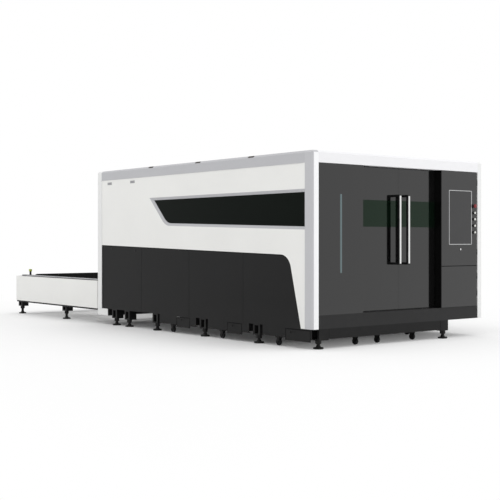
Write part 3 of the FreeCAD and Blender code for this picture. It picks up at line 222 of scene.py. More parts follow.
class Shading(Tree):
    """The node tree of one material."""

    def __init__(self, name: str) -> None:
        """Start a material with an empty tree."""
        self.material = bpy.data.materials.new(name)
        self.material.use_nodes = True
        super().__init__(self.material.node_tree)
        self.place = self.node("ShaderNodeTexCoord")["Object"]

    def axis(self, letter: str) -> Field:
        """Return the x, y or z coordinate of the surface, in metres."""
        return self.node("ShaderNodeSeparateXYZ", None, {0: self.place})[letter]

    def stretched(self, scale: Point) -> Field:
        """Return the coordinates scaled apart by axis."""
        return self.node("ShaderNodeMapping", None, {"Vector": self.place, "Scale": scale})[0]

    def noise(self, scale: float, detail: float = 3.0, stretch: Point = (1, 1, 1)) -> Field:
        """Return a noise between 0 and 1 at this scale per metre."""
        return self.node("ShaderNodeTexNoise", None, {
            "Vector": self.stretched(stretch), "Scale": scale, "Detail": detail})[0]

    def cells(self, scale: float) -> Field:
        """Return the distance to the nearest of points scattered at this scale per metre."""
        return self.node("ShaderNodeTexVoronoi", None, {"Vector": self.place, "Scale": scale})[0]

    def blend(self, factor: Number, first: Union[Field, Colour],
              second: Union[Field, Colour]) -> Field:
        """Return a mix of two colours."""
        inputs = {0: factor, 6: self._full(first), 7: self._full(second)}
        return self.node("ShaderNodeMix", {"data_type": "RGBA"}, inputs)[2]

    @staticmethod
    def _full(colour: Union[Field, Colour]) -> Union[Field, tuple[float, ...]]:
        """Return a colour with its fourth channel; a field stays as it is."""
        return colour if isinstance(colour, Field) else (*colour, 1.0)

    def relief(self, height: Field, depth: float) -> Field:
        """Return normals that follow a height, depth metres high where it is 1."""
        return self.node("ShaderNodeBump", None, {
            "Height": height, "Distance": depth, "Strength": 1.0})["Normal"]

    def close(self, fixed: dict[str, Any], varying: dict[str, Field]) -> bpy.types.Material:
        """Finish the material with one Principled shader.

        Args:
            fixed: Values that are the same all over, set on the shader's sockets.
            varying: Fields for the sockets that change over the surface.

        Returns:
            The finished material.
        """
        shader = self.node("ShaderNodeBsdfPrincipled", None, {**fixed, **varying})
        self.node("ShaderNodeOutputMaterial", None, {"Surface": shader["BSDF"]})
        return self.material


# ---- finishes -----------------------------------------------------------------------------------
@dataclass(frozen=True)
class Finish:
    """A surface finish: its name, its colour and how rough it is."""

    name: str
    colour: Colour
    roughness: float = 0.5

    def material(self) -> bpy.types.Material:
        """Return the finish's material, built on first use."""
        return bpy.data.materials.get(self.name) or self.build(Shading(self.name))

    def build(self, tree: Shading) -> bpy.types.Material:
        """Fill the tree; each kind of finish does this in its own way."""
        raise NotImplementedError

    def shade(self, by: float) -> Colour:
        """Return the finish's colour, darker or lighter by this factor."""
        return tuple(min(1.0, channel * by) for channel in self.colour)


@dataclass(frozen=True)
class Paint(Finish):
    """Powder coat: orange peel, slight clouding, and dust that gathers low down."""

    specular: float = 0.4
    peel: float = 0.00008
    dust: float = 0.10

    def build(self, tree: Shading) -> bpy.types.Material:
        """Return the material of the coat."""
        cloud = tree.noise(1.3, 4.0)
        speckle = tree.noise(60.0, 2.0)
        low = 1.0 - tree.axis("Z").rises(0.0, 0.55)
        settled = (low * tree.noise(9.0, 5.0) * self.dust).clamped()
        shade = (cloud * 0.7 + speckle * 0.3).rises(0.25, 0.75)
        base = tree.blend(shade, self.shade(0.965), self.shade(1.02))
        base = tree.blend(settled, base, (0.33, 0.32, 0.30))
        rough = self.roughness + (cloud - 0.5) * 0.10 + settled * 0.5
        peel = tree.noise(520.0, 2.0)
        return tree.close(
            {"Specular IOR Level": self.specular},
            {"Base Color": base, "Roughness": rough, "Normal": tree.relief(peel, self.peel)})


@dataclass(frozen=True)
class FrontSheenPaint(Paint):
    """Paint of a post with a painted highlight: faces turned to the front get a lighter colour
    than its side, standing in for the light's sheen on them.
    """

    # The lighter colour painted on front-facing faces: a painted highlight.
    front: Colour = (0.865, 0.87, 0.88)

    def build(self, tree: Shading) -> bpy.types.Material:
        """Return the material, with its lighter front colour painted where the surface faces the
        front, as a painted highlight.
        """
        facing = tree.node("ShaderNodeTexCoord")["Normal"]
        ahead = tree.node("ShaderNodeSeparateXYZ", None, {0: facing})["Y"]
        # Painted highlight: faces turned to the front take the lighter colour.
        front_sheen_mask = (-1.0 * ahead).rises(0.93, 0.98)
        cloud = tree.noise(1.6, 4.0)
        side = tree.blend(cloud.rises(0.3, 0.7), self.shade(0.97), self.shade(1.02))
        base = tree.blend(front_sheen_mask, side, self.front)
        peel = tree.noise(520.0, 2.0)
        return tree.close(
            {"Specular IOR Level": self.specular},
            {"Base Color": base, "Roughness": self.roughness + (cloud - 0.5) * 0.1,
             "Normal": tree.relief(peel, self.peel)})


@dataclass(frozen=True)
class GlossPanel(Finish):
    """Near-black panel with a hard gloss and wiping marks in it."""

    specular: float = 0.75

    def build(self, tree: Shading) -> bpy.types.Material:
        """Return the material of the panel."""
        wiped = tree.noise(3.0, 6.0, (1.0, 1.0, 0.25))
        smear = tree.noise(26.0, 4.0, (0.35, 0.35, 1.0))
        base = tree.blend(wiped, self.shade(0.85), self.shade(1.15))
        rough = self.roughness + (wiped * smear).rises(0.2, 0.6) * 0.05
        wave = tree.noise(5.0, 1.0)
        return tree.close(
            {"Specular IOR Level": self.specular},
            {"Base Color": base, "Roughness": rough, "Normal": tree.relief(wave, 0.0002)})


@dataclass(frozen=True)
class Glazing(Finish):
    """Tinted laser-safe pane: dark through its depth, clear at the surface."""

    alpha: float = 0.93
    specular: float = 0.2
    gloss_tint: Colour = (1.0, 1.0, 1.0)

    def build(self, tree: Shading) -> bpy.types.Material:
        """Return the material of the pane."""
        depth = tree.noise(2.2, 2.0)
        haze = tree.noise(14.0, 5.0, (1.0, 1.0, 0.5))
        base = tree.blend(depth, self.shade(0.85), self.shade(1.15))
        rough = self.roughness + haze.rises(0.45, 0.8) * 0.05
        return tree.close(
            {"Specular IOR Level": self.specular, "Alpha": self.alpha,
             "Specular Tint": (*self.gloss_tint, 1.0)},
            {"Base Color": base, "Roughness": rough})


@dataclass(frozen=True)
class Metal(Finish):
    """Bare metal with fine marks along the direction it was ground or drawn in."""

    marks: Point = (1.0, 1.0, 1.0)
    grain: float = 160.0
    depth: float = 0.00003
    stain: Colour = (0.30, 0.29, 0.28)
    stained: float = 0.15

    def build(self, tree: Shading) -> bpy.types.Material:
        """Return the material of the metal."""
        lines = tree.noise(self.grain, 3.0, self.marks)
        cloud = tree.noise(4.0, 5.0)
        base = tree.blend(lines, self.shade(0.86), self.shade(1.08))
        base = tree.blend((cloud.rises(0.5, 0.8) * self.stained).clamped(), base, self.stain)
        rough = self.roughness + (lines - 0.5) * 0.18 + cloud * 0.08
        return tree.close(
            {"Metallic": 1.0},
            {"Base Color": base, "Roughness": rough, "Normal": tree.relief(lines, self.depth)})


@dataclass(frozen=True)
class BurntSteel(Finish):
    """Support slats: mill scale below, spatter and heat tint towards the cut edges."""

    low: float = 0.40
    high: float = 0.60

    def build(self, tree: Shading) -> bpy.types.Material:
        """Return the material of the slats, hotter towards their teeth."""
        rise = tree.axis("Z").rises(self.low, self.high)
        scale = tree.noise(35.0, 5.0)
        spatter = 1.0 - tree.cells(160.0).rises(0.05, 0.45)
        tint = tree.node("ShaderNodeValToRGB", {"stops": [
            (0.0, self.shade(1.0)), (0.45, (0.16, 0.12, 0.10)), (0.75, (0.20, 0.17, 0.15)),
            (1.0, (0.09, 0.085, 0.09))]}, {0: (rise + (scale - 0.5) * 0.4).clamped()})[0]
        base = tree.blend(spatter * rise * 0.6, tint, (0.05, 0.048, 0.046))
        rough = self.roughness + (scale - 0.5) * 0.3
        return tree.close(
            {"Metallic": 0.85},
            {"Base Color": base, "Roughness": rough,
             "Normal": tree.relief(scale * 0.5 + spatter * rise, 0.0006)})


@dataclass(frozen=True)
class Plastic(Finish):
    """Moulded plastic with a fine grain."""

    grain: float = 900.0
    depth: float = 0.00006
    specular: float = 0.4

    def build(self, tree: Shading) -> bpy.types.Material:
        """Return the material of the plastic."""
        pits = tree.cells(self.grain)
        cloud = tree.noise(12.0, 3.0)
        base = tree.blend(cloud, self.shade(0.93), self.shade(1.07))
        return tree.close(
            {"Specular IOR Level": self.specular},
            {"Base Color": base, "Roughness": self.roughness + (cloud - 0.5) * 0.12,
             "Normal": tree.relief(pits, self.depth)})


@dataclass(frozen=True)
class LitPlastic(Finish):
    """Frosted diffuser, brighter along its middle than at its ends."""

    glow: float = 0.12
    low: float = 0.889
    high: float = 1.822

    def build(self, tree: Shading) -> bpy.types.Material:
        """Return the material of the diffuser."""
        middle = 0.5 * (self.low + self.high)
        reach = abs(tree.axis("Z") - middle) / (0.5 * (self.high - self.low))
        even = 1.0 - reach.rises(0.75, 1.05) * 0.6
        frost = tree.noise(300.0, 2.0)
        lit = tree.blend(even, (0.0, 0.0, 0.0), self.colour)
        base = tree.blend(frost, self.shade(0.9), self.shade(1.05))
        return tree.close(
            {"Emission Strength": self.glow, "Roughness": self.roughness},
            {"Base Color": base, "Emission Color": lit, "Normal": tree.relief(frost, 0.00005)})


@dataclass(frozen=True)
class ScreenGlass(Finish):
    """Switched-off screen: a black layer under glass with finger marks."""

    def build(self, tree: Shading) -> bpy.types.Material:
        """Return the material of the screen."""
        touch = tree.cells(22.0).rises(0.0, 0.35)
        smear = tree.noise(60.0, 4.0)
        rough = self.roughness + (1.0 - touch) * smear * 0.12
        layer = tree.noise(3.0, 1.0)
        base = tree.blend(layer, self.shade(0.9), self.shade(1.1))
        return tree.close({"Specular IOR Level": 0.5}, {"Base Color": base, "Roughness": rough})


WHITE = Paint("white_powder_coat", (0.80, 0.80, 0.78), 0.42, specular=0.30)
WHITE_COOL = Paint("white_beam_paint", (0.80, 0.80, 0.815), 0.40, specular=0.30)
ROOF = Paint("white_roof_paint", (0.66, 0.66, 0.665), 0.45, specular=0.25)
WHITE_PALE = Paint("pale_grey_post_paint", (0.76, 0.765, 0.76), 0.40, specular=0.30)
SILVER = Paint("silver_satin_paint", (0.47, 0.472, 0.49), 0.38, specular=0.35)
# The front post's paint, with a painted highlight on its front faces.
POST = FrontSheenPaint("front_post_paint", (0.50, 0.502, 0.52), 0.38, specular=0.35)
DARK = Paint("near_black_powder_coat", (0.0135, 0.0135, 0.0138), 0.50, specular=0.10, dust=0.03)
GLOSS = GlossPanel("hard_gloss_dark_panel", (0.0030, 0.0030, 0.0031), 0.08, 0.68)
CONSOLE = GlossPanel("hard_gloss_console_panel", (0.0080, 0.0080, 0.0082), 0.10, 0.68)
CHEEK = GlossPanel("hard_gloss_black_cheek", (0.0015, 0.0015, 0.0015), 0.06, 0.25)
PLINTH = Paint("dark_grey_plinth_paint", (0.021, 0.021, 0.0215), 0.45, specular=0.15, dust=0.04)
ENAMEL = Paint("grey_machine_enamel", (0.50, 0.51, 0.52), 0.40, specular=0.45)
FRAME_BLACK = Paint("black_frame_enamel", (0.012, 0.012, 0.0125), 0.45, specular=0.2, dust=0.05)
SIDE_GLASS = Glazing("side_window_glazing", (0.0028, 0.0048, 0.0034), 0.08, 0.98, 0.04)
DOOR_GLASS = Glazing("green_door_glazing", (0.0022, 0.0056, 0.0032), 0.06, 0.97, 0.29,
                     (0.62, 1.0, 0.70))
BARE = Metal("ground_steel", (0.58, 0.585, 0.59), 0.30, marks=(1, 0.04, 1))
PLATE = Metal("brushed_hinge_plate", (0.36, 0.36, 0.37), 0.42, marks=(1, 0.05, 1))
STRIP = Metal("brushed_handle_strip", (0.82, 0.82, 0.81), 0.24, marks=(1, 1, 0.03), stained=0.0)
ALUMINIUM = Metal("anodised_aluminium", (0.72, 0.73, 0.74), 0.36, marks=(0.05, 1, 1),
                  stained=0.05)
COPPER = Metal("copper_nozzle", (0.72, 0.36, 0.20), 0.28, marks=(1, 1, 0.1))
BLACK_STEEL = Paint("blackened_steel", (0.006, 0.006, 0.0063), 0.42, specular=0.15, dust=0.04)
SLAT = BurntSteel("burnt_slat_steel", (0.15, 0.145, 0.14), 0.55)
BLACK = Plastic("black_polyamide", (0.008, 0.008, 0.0085), 0.45, specular=0.3)
# Black rubber for the console door's seal, also used for the black strips of painted shade in the
# panel and drawer gaps.
SEAL_AND_SHADOW_BLACK = Plastic("black_seal_and_shadow_strip", (0.0035, 0.0035, 0.0038), 0.6, specular=0.1)
TREAD = Plastic("dark_wheel_tread", (0.008, 0.008, 0.009), 0.55, specular=0.2)
PLUG = Plastic("dark_brown_plug", (0.035, 0.028, 0.022), 0.5, specular=0.2)
RED = Plastic("red_button_plastic", (0.19, 0.018, 0.022), 0.25, depth=0.00001)
CAP = Plastic("pale_button_plastic", (0.70, 0.71, 0.68), 0.25, depth=0.00001)
DIFFUSER = LitPlastic("frosted_diffuser", (0.095, 0.137, 0.144), 0.40)
SCREEN = ScreenGlass("dark_touch_screen", (0.022, 0.022, 0.023), 0.12)
BEZEL = Metal("silver_screen_surround", (0.62, 0.625, 0.63), 0.30, marks=(1, 1, 0.05))
CHROME = Metal("plated_lock_metal", (0.80, 0.80, 0.80), 0.14, stained=0.0)
YELLOW_GREEN = Plastic("yellow_green_cap", (0.36, 0.42, 0.07), 0.35)

NODES_IN: dict[Finish, Sequence[str]] = {
    WHITE: ("left_upper_panel", "right_upper_panel", "rear_wall", "carriage", "exchange_skirts"),
    WHITE_COOL: ("top_beam_front",),
    WHITE_PALE: ("corner_post_front_right", "rear_corner_posts"),
    ROOF: ("roof_panels",),
    POST: ("corner_post_front_left",),
    SILVER: ("side_and_rear_beams", "side_window_frame"),
    DARK: ("bed_skirts", "left_lower_panels", "right_lower_panels", "lift_deck",
           "exchange_frame", "slag_drawer_1", "slag_drawer_2", "slag_drawer_3"),
    PLINTH: ("base_fascia",),
    ENAMEL: ("main_beams", "door_tracks", "inner_partition"),
    FRAME_BLACK: ("underframe",),
    BLACK_STEEL: ("foot_brackets", "caster_forks"),
    GLOSS: ("front_fixed_panel", "door_leaf_left", "door_leaf_right"),
    CONSOLE: ("console_upper_door", "console_lower_door"),
    CHEEK: ("control_console",),
    SIDE_GLASS: ("side_window_glass",),
    DOOR_GLASS: ("door_glass_left", "door_glass_right"),
    DIFFUSER: ("light_strip",),
    BLACK: ("electrical_modules",),
    BARE: ("bed_tracks",),
    ALUMINIUM: ("gantry",),
}


# ---- meshes -------------------------------------------------------------------------------------
Profile = Sequence[tuple[float, float]]
Outline = list[tuple[float, float]]
ON_AXIS = 1e-7                 # radius below which a turned point is a pole
SHARP = math.radians(35)       # edges that turn by more than this stay sharp


def polygon(radius: float, sides: int) -> Outline:
    """Return a regular polygon with its first corner on the x axis."""
    return [(radius * math.cos(math.tau * i / sides), radius * math.sin(math.tau * i / sides))
            for i in range(sides)]


def walls(rings: Sequence[tuple[Profile, float]], stand: Matrix,
          looped: bool = False) -> tuple[list[Vector], list[tuple[int, ...]]]:
    """Join rings of as many points.

    Args:
        rings: Outlines in x and y of the stand, each with its place along z.
        stand: Where the solid stands.
        looped: Whether the last ring joins the first.

    Returns:
        The points, ring by ring, and the faces between them.
    """
    count = len(rings[0][0])
    points = [stand @ Vector((u, v, w)) for ring, w in rings for u, v in ring]
    faces = []
    for k in range(len(rings) if looped else len(rings) - 1):
        a, b = k * count, (k + 1) % len(rings) * count
        faces += [(a + i, a + (i + 1) % count, b + (i + 1) % count, b + i) for i in range(count)]
    return points, faces


class Draft:
    """A mesh being drawn: shapes are added to it, then it becomes one object."""

    def __init__(self) -> None:
        """Start with nothing."""
        self.points: list[Vector] = []
        self.faces: list[tuple[int, ...]] = []

    def add(self, points: Sequence[Vector], faces: Sequence[Sequence[int]]) -> None:
        """Add points and the faces between them."""
        start = len(self.points)
        self.points += [Vector(point) for point in points]
        self.faces += [tuple(start + i for i in face) for face in faces]

    def lathe(self, profile: Profile, stand: Matrix = HERE, sides: int = 24) -> None:
        """Add a closed turned solid.

        Args:
            profile: (radius, height) points from pole to pole, or a closed loop off the axis.
            stand: Where the solid stands, with its axis along z.
            sides: How many sides a ring has.
        """
        ring = polygon(1.0, sides)
        points, rows = [], []
        for radius, height in profile:
            if radius < ON_AXIS:
                rows.append([len(points)] * sides)
                points.append(stand @ Vector((0, 0, height)))
            else:
                rows.append(list(range(len(points), len(points) + sides)))
                points += [stand @ Vector((radius * c, radius * s, height)) for c, s in ring]
        looped = profile[0][0] > ON_AXIS and profile[-1][0] > ON_AXIS
        faces = []
        for low, high in zip(rows, rows[1:] + (rows[:1] if looped else [])):
            for i in range(sides):
                j = (i + 1) % sides
                face = list(dict.fromkeys((low[i], low[j], high[j], high[i])))
                if len(face) > 2:
                    faces.append(face)
        self.add(points, faces)

    def prism(self, outline: Profile, low: float, high: float, stand: Matrix = HERE) -> None:
        """Add a solid with this outline in x and y, from low to high along z of its stand."""
        count = len(outline)
        points, faces = walls([(outline, low), (outline, high)], stand)
        self.add(points, [*faces, tuple(reversed(range(count))), tuple(range(count, 2 * count))])

    def band(self, line: Profile, width: float, low: float, high: float,
             stand: Matrix) -> None:
        """Add a band that follows an open line of points.

        Args:
            line: The points in x and y of the stand.
            width: How far it reaches to the right of the line.
            low: Where it starts along z of the stand.
            high: Where it ends along z of the stand.
            stand: Where the solid stands.
        """
        edge = [Vector(point) for point in line]
        runs = [(after - before).normalized() for before, after in zip(edge, edge[1:])]
        sides = [Vector((run.y, -run.x)) for run in runs]
        inner = []
        for point, before, after in zip(edge, sides[:1] + sides, sides + sides[-1:]):
            inner.append(point + (before + after) * (width / (1.0 + before.dot(after))))
        points = [stand @ Vector((u, v, w)) for pair in zip(edge, inner) for u, v in pair
                  for w in (low, high)]
        faces = [(0, 1, 3, 2), tuple(len(points) - 4 + i for i in (0, 2, 3, 1))]
        for i in range(0, len(points) - 4, 4):
            faces += [(i + a, i + a + 4, i + b + 4, i + b) for a, b in
                      ((0, 1), (1, 3), (3, 2), (2, 0))]
        self.add(points, faces)

    def box(self, x: Sequence[float], y: Sequence[float], z: Sequence[float]) -> None:
        """Add a box from three (low, high) pairs."""
        outline = [(x[0], y[0]), (x[1], y[0]), (x[1], y[1]), (x[0], y[1])]
        self.prism(outline, *z)

    def mesh(self, name: str) -> bpy.types.Mesh:
        """Return the drawn mesh, faces outwards."""
        made = bpy.data.meshes.new(name)
        made.from_pydata(self.points, [], self.faces)
        work = bmesh.new()
        work.from_mesh(made)
        bmesh.ops.recalc_face_normals(work, faces=work.faces)
        work.to_mesh(made)
        work.free()
        return made

    def piece(self, name: str, finish: Finish, slot: str, body: Union[Body, str],
              stands_for: Sequence[str] = (), bevel: float = 0.0) -> None:
        """Make the drawn mesh a piece; the arguments are those of finished."""
        finished(self.mesh(name), name, finish, body, stands_for, bevel)


def rounded(width: float, height: float, radius: float, steps: int = 6) -> Outline:
    """Return a rectangle with round corners, centred on the origin, counter-clockwise."""
    points = []
    for quarter, (sx, sy) in enumerate(((1, 1), (-1, 1), (-1, -1), (1, -1))):
        cx, cy = sx * (width / 2 - radius), sy * (height / 2 - radius)
        for i in range(steps + 1):
            turn = math.pi / 2 * (quarter + i / steps)
            points.append((cx + radius * math.cos(turn), cy + radius * math.sin(turn)))
    return points


def eased(before: tuple[float, float], corner: tuple[float, float], after: tuple[float, float],
          radius: float, steps: int = 12) -> Outline:
    """Return the arc that rounds the corner of a line."""
    at = Vector(corner)
    back, on = (Vector(before) - at).normalized(), (Vector(after) - at).normalized()
    half = back.angle(on) / 2
    middle = at + (back + on).normalized() * (radius / math.sin(half))
    start = at + back * (radius / math.tan(half)) - middle
    end = at + on * (radius / math.tan(half)) - middle
    first = math.atan2(start.y, start.x)
    turn = math.remainder(math.atan2(end.y, end.x) - first, math.tau)
    return [(middle.x + radius * math.cos(first + turn * i / steps),
             middle.y + radius * math.sin(first + turn * i / steps)) for i in range(steps + 1)]


def finished(mesh: bpy.types.Mesh, name: str, finish: Finish, body: Union[Body, str],
             stands_for: Sequence[str] = (), bevel: float = 0.0) -> None:
    """Make a piece of a mesh and hang it on its body.

    Args:
        mesh: The mesh, in the frame's coordinates.
        name: The piece's name.
        finish: Its finish.
        body: The body it rides on.
        stands_for: CAD nodes that it is shown instead of.
        bevel: Width of the rounding along its sharp edges, 0 for none.
    """
    piece = bpy.data.objects.new(name, mesh)
    bpy.context.scene.collection.objects.link(piece)
    mesh.name = name
    mesh.materials.clear()
    mesh.materials.append(finish.material())
    mesh.polygons.foreach_set("use_smooth", [True] * len(mesh.polygons))
    mesh.set_sharp_from_angle(angle=SHARP)
    if bevel:
        edge = piece.modifiers.new("edge", "BEVEL")
        edge.width = bevel
        edge.segments = 2
        edge.limit_method = "ANGLE"
        edge.angle_limit = SHARP
        edge.harden_normals = True
    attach(piece, body.value if isinstance(body, Body) else body)
    if stands_for:
        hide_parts(*stands_for)
    log.info("piece %s: %d faces, %s, on %s", name, len(mesh.polygons), finish.name, body)


# ---- repeated parts by Geometry Nodes -----------------------------------------------------------
class Recipe(Tree):
    """A Geometry Nodes tree with named inputs."""

    def __init__(self, name: str) -> None:
        """Start an empty tree with its geometry sockets."""
        super().__init__(bpy.data.node_groups.new(name, "GeometryNodeTree"))
        self.tree.interface.new_socket("Geometry", in_out="INPUT",
                                       socket_type="NodeSocketGeometry")
        self.tree.interface.new_socket("Geometry", in_out="OUTPUT",
                                       socket_type="NodeSocketGeometry")
        self.start = self.tree.nodes.new("NodeGroupInput")

    def named(self, name: str, kind: str = "NodeSocketFloat") -> Field:
        """Add a named input and return it as a field."""
        self.tree.interface.new_socket(name, in_out="INPUT", socket_type=kind)
        return Field(self, self.start.outputs[name])

    def incoming(self) -> Field:
        """Return the geometry that the modifier is given."""
        return Field(self, self.start.outputs["Geometry"])

    def close(self, geometry: Field, material: Field) -> bpy.types.NodeTree:
        """End the tree with real geometry in one material."""
        real = self.node("GeometryNodeRealizeInstances", None, {0: geometry})[0]
        painted = self.node("GeometryNodeSetMaterial", None, {0: real, "Material": material})[0]
        self.node("NodeGroupOutput", None, {0: painted})
        return self.tree


def run_recipe(tree: bpy.types.NodeTree, seed_mesh: bpy.types.Mesh,
               values: dict[str, Any]) -> bpy.types.Mesh:
    """Run a Geometry Nodes tree once.

    Args:
        tree: The tree.
        seed_mesh: The mesh that it starts from.
        values: A value for each of its named inputs.

    Returns:
        The result as a plain mesh.
    """
    holder = bpy.data.objects.new("holder", seed_mesh)
    bpy.context.scene.collection.objects.link(holder)
    modifier = holder.modifiers.new("recipe", "NODES")
    modifier.node_group = tree
    for item in tree.interface.items_tree:
        if item.in_out == "INPUT" and item.name in values:
            modifier[item.identifier] = values[item.name]
    graph = bpy.context.evaluated_depsgraph_get()
    graph.update()
    mesh = bpy.data.meshes.new_from_object(holder.evaluated_get(graph), depsgraph=graph)
    holder.modifiers.remove(modifier)
    bpy.data.objects.remove(holder)
    return mesh


def scatter_recipe() -> bpy.types.NodeTree:
    """Build the tree that stands a part on every point, along the point's aim.

    Returns:
        The tree, with the inputs Part, Turn, Seed and Finish.
    """
    recipe = Recipe("stand_parts_on_points")
    part = recipe.named("Part", "NodeSocketObject")
    turn = recipe.named("Turn")
    seed = recipe.named("Seed", "NodeSocketInt")
    finish = recipe.named("Finish", "NodeSocketMaterial")
    shape = recipe.node("GeometryNodeObjectInfo", {"transform_space": "ORIGINAL"},
                        {"Object": part})["Geometry"]
    aim = recipe.node("GeometryNodeInputNamedAttribute", {"data_type": "FLOAT_VECTOR"},
                      {"Name": "aim"})[0]
    aligned = recipe.node("FunctionNodeAlignRotationToVector", {"axis": "Z"},
                          {"Vector": aim})[0]
    angle = recipe.node("FunctionNodeRandomValue", {"data_type": "FLOAT"},
                        {"Min": 0.0, "Max": turn, "Seed": seed})[1]
    spin = recipe.node("FunctionNodeAxisAngleToRotation", None,
                       {"Axis": (0, 0, 1), "Angle": angle})[0]
    standing = recipe.node("FunctionNodeRotateRotation", {"rotation_space": "LOCAL"},
                           {0: aligned, 1: spin})[0]
    placed = recipe.node("GeometryNodeInstanceOnPoints", None, {
        "Points": recipe.incoming(), "Instance": shape, "Rotation": standing})[0]
    return recipe.close(placed, finish)


TOOTH_LAP = 0.0001             # how far the teeth reach into their slat


def slat_recipe() -> bpy.types.NodeTree:
    """Build the tree that makes all the toothed slats of one pallet.

    Returns:
        The tree, with named inputs for counts, sizes, burn, seed and finish.
    """
    recipe = Recipe("toothed_slats")
    slats = recipe.named("Slats", "NodeSocketInt")
    pitch = recipe.named("Slat Pitch")
    length = recipe.named("Slat Length")
    height = recipe.named("Slat Height")
    thick = recipe.named("Thickness")
    teeth = recipe.named("Teeth", "NodeSocketInt")
    tooth = recipe.named("Tooth Height")
    burn = recipe.named("Burn")
    seed = recipe.named("Seed", "NodeSocketInt")
    origin = recipe.named("Place", "NodeSocketVector")
    finish = recipe.named("Finish", "NodeSocketMaterial")
    web = height - tooth

    def vector(x: Number, y: Number, z: Number) -> Field:
        """Return a vector of three numbers."""
        return recipe.node("ShaderNodeCombineXYZ", None, {0: x, 1: y, 2: z})[0]

    def moved(geometry: Field, **how: Any) -> Field:
        """Return geometry after one Transform node with these inputs."""
        return recipe.node("GeometryNodeTransform", None, {0: geometry, **how})[0]

    strip = recipe.node("GeometryNodeMeshCube", None, {"Size": vector(length, thick, web)})[0]
    strip = moved(strip, Translation=vector(0.0, 0.0, web * 0.5))
    depth = pitch * (slats - 1)
    row = recipe.node("GeometryNodeMeshLine", None, {
        "Count": slats, "Start Location": vector(0.0, depth * -0.5, 0.0),
        "Offset": vector(0.0, pitch, 0.0)})[0]
    strips = recipe.node("GeometryNodeInstanceOnPoints", None,
                         {"Points": row, "Instance": strip})[0]
    wide = length / teeth
    radius = wide / math.sqrt(3.0)
    spike = recipe.node("GeometryNodeMeshCylinder", {"fill_type": "NGON"}, {
        "Vertices": 3, "Radius": radius, "Depth": thick})[0]
    spike = moved(spike, Rotation=(0.0, 0.0, math.pi / 2))
    spike = moved(spike, Rotation=(math.pi / 2, 0.0, 0.0))
    spike = moved(spike, Translation=vector(0.0, 0.0, radius * 0.5))
    spike = moved(spike, Scale=vector(1.0, 1.0, tooth / (radius * 1.5)))
    grid = recipe.node("GeometryNodeMeshGrid", None, {
        "Size X": length - wide, "Size Y": depth, "Vertices X": teeth,
        "Vertices Y": slats})[0]
    left = recipe.node("FunctionNodeRandomValue", {"data_type": "FLOAT"}, {
        "Min": 1.0 - burn, "Max": 1.0, "Seed": seed})[1]
    tips = recipe.node("GeometryNodeInstanceOnPoints", None, {
        "Points": grid, "Instance": spike, "Scale": vector(1.0, 1.0, left)})[0]
    tips = moved(tips, Translation=vector(0.0, 0.0, web - TOOTH_LAP))
    joined = recipe.node("GeometryNodeJoinGeometry")
    for source in (strips, tips):
        recipe.tree.links.new(source.socket, joined.node.inputs[0])
    return recipe.close(moved(joined[0], Translation=origin), finish)


@dataclass
class Scatter:
    """Identical small parts, stood on points by the scatter tree."""

    part: bpy.types.Mesh
    turn: float
    seed: int

    def over(self, places: Sequence[Spot], name: str, finish: Finish,
             body: Union[Body, str], stands_for: Sequence[str] = ()) -> None:
        """Stand the part on every place, as one piece.

        Args:
            places: Points, each with the direction that the part points in.
            name: The piece's name.
            finish: Its finish.
            body: The body it rides on.
            stands_for: CAD nodes that it is shown instead of.
        """
        points = bpy.data.meshes.new("places")
        points.from_pydata([place for place, _ in places], [], [])
        aims = points.attributes.new("aim", "FLOAT_VECTOR", "POINT")
        aims.data.foreach_set("vector", [value for _, facing in places for value in facing.value])
        template = bpy.data.objects.new("template", self.part)
        tree = bpy.data.node_groups.get("stand_parts_on_points") or scatter_recipe()
        mesh = run_recipe(tree, points, {"Part": template, "Turn": self.turn, "Seed": self.seed,
                                         "Finish": finish.material()})
        bpy.data.objects.remove(template)
        finished(mesh, name, finish, body, stands_for)


def spread(low: float, high: float, count: int) -> list[float]:
    """Return this many evenly spaced places from low to high."""
    return [low + i * (high - low) / (count - 1) for i in range(count)]


def screw_head(radius: float, height: float) -> bpy.types.Mesh:
    """Return a low round screw head with a hexagon recess."""
    draft = Draft()
    edge = height * 0.35
    draft.lathe([(0, -height), (radius, -height), (radius, height - edge),
                 (radius - edge, height), (radius * 0.5, height), (radius * 0.45, height * 0.3),
                 (0, height * 0.3)], sides=12)
    return draft.mesh("screw_head")


# ---- sub-assemblies -----------------------------------------------------------------------------
@dataclass(frozen=True)
class CadDressing:
    """The CAD nodes that are shown as they are, each in its finish."""

    def make(self) -> None:
        """Give every such node its material."""
        for finish, names in NODES_IN.items():
            for name in names:
                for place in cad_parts[name].material_slots:
                    place.material = finish.material()
                log.info("node %s: %s", name, finish.name)


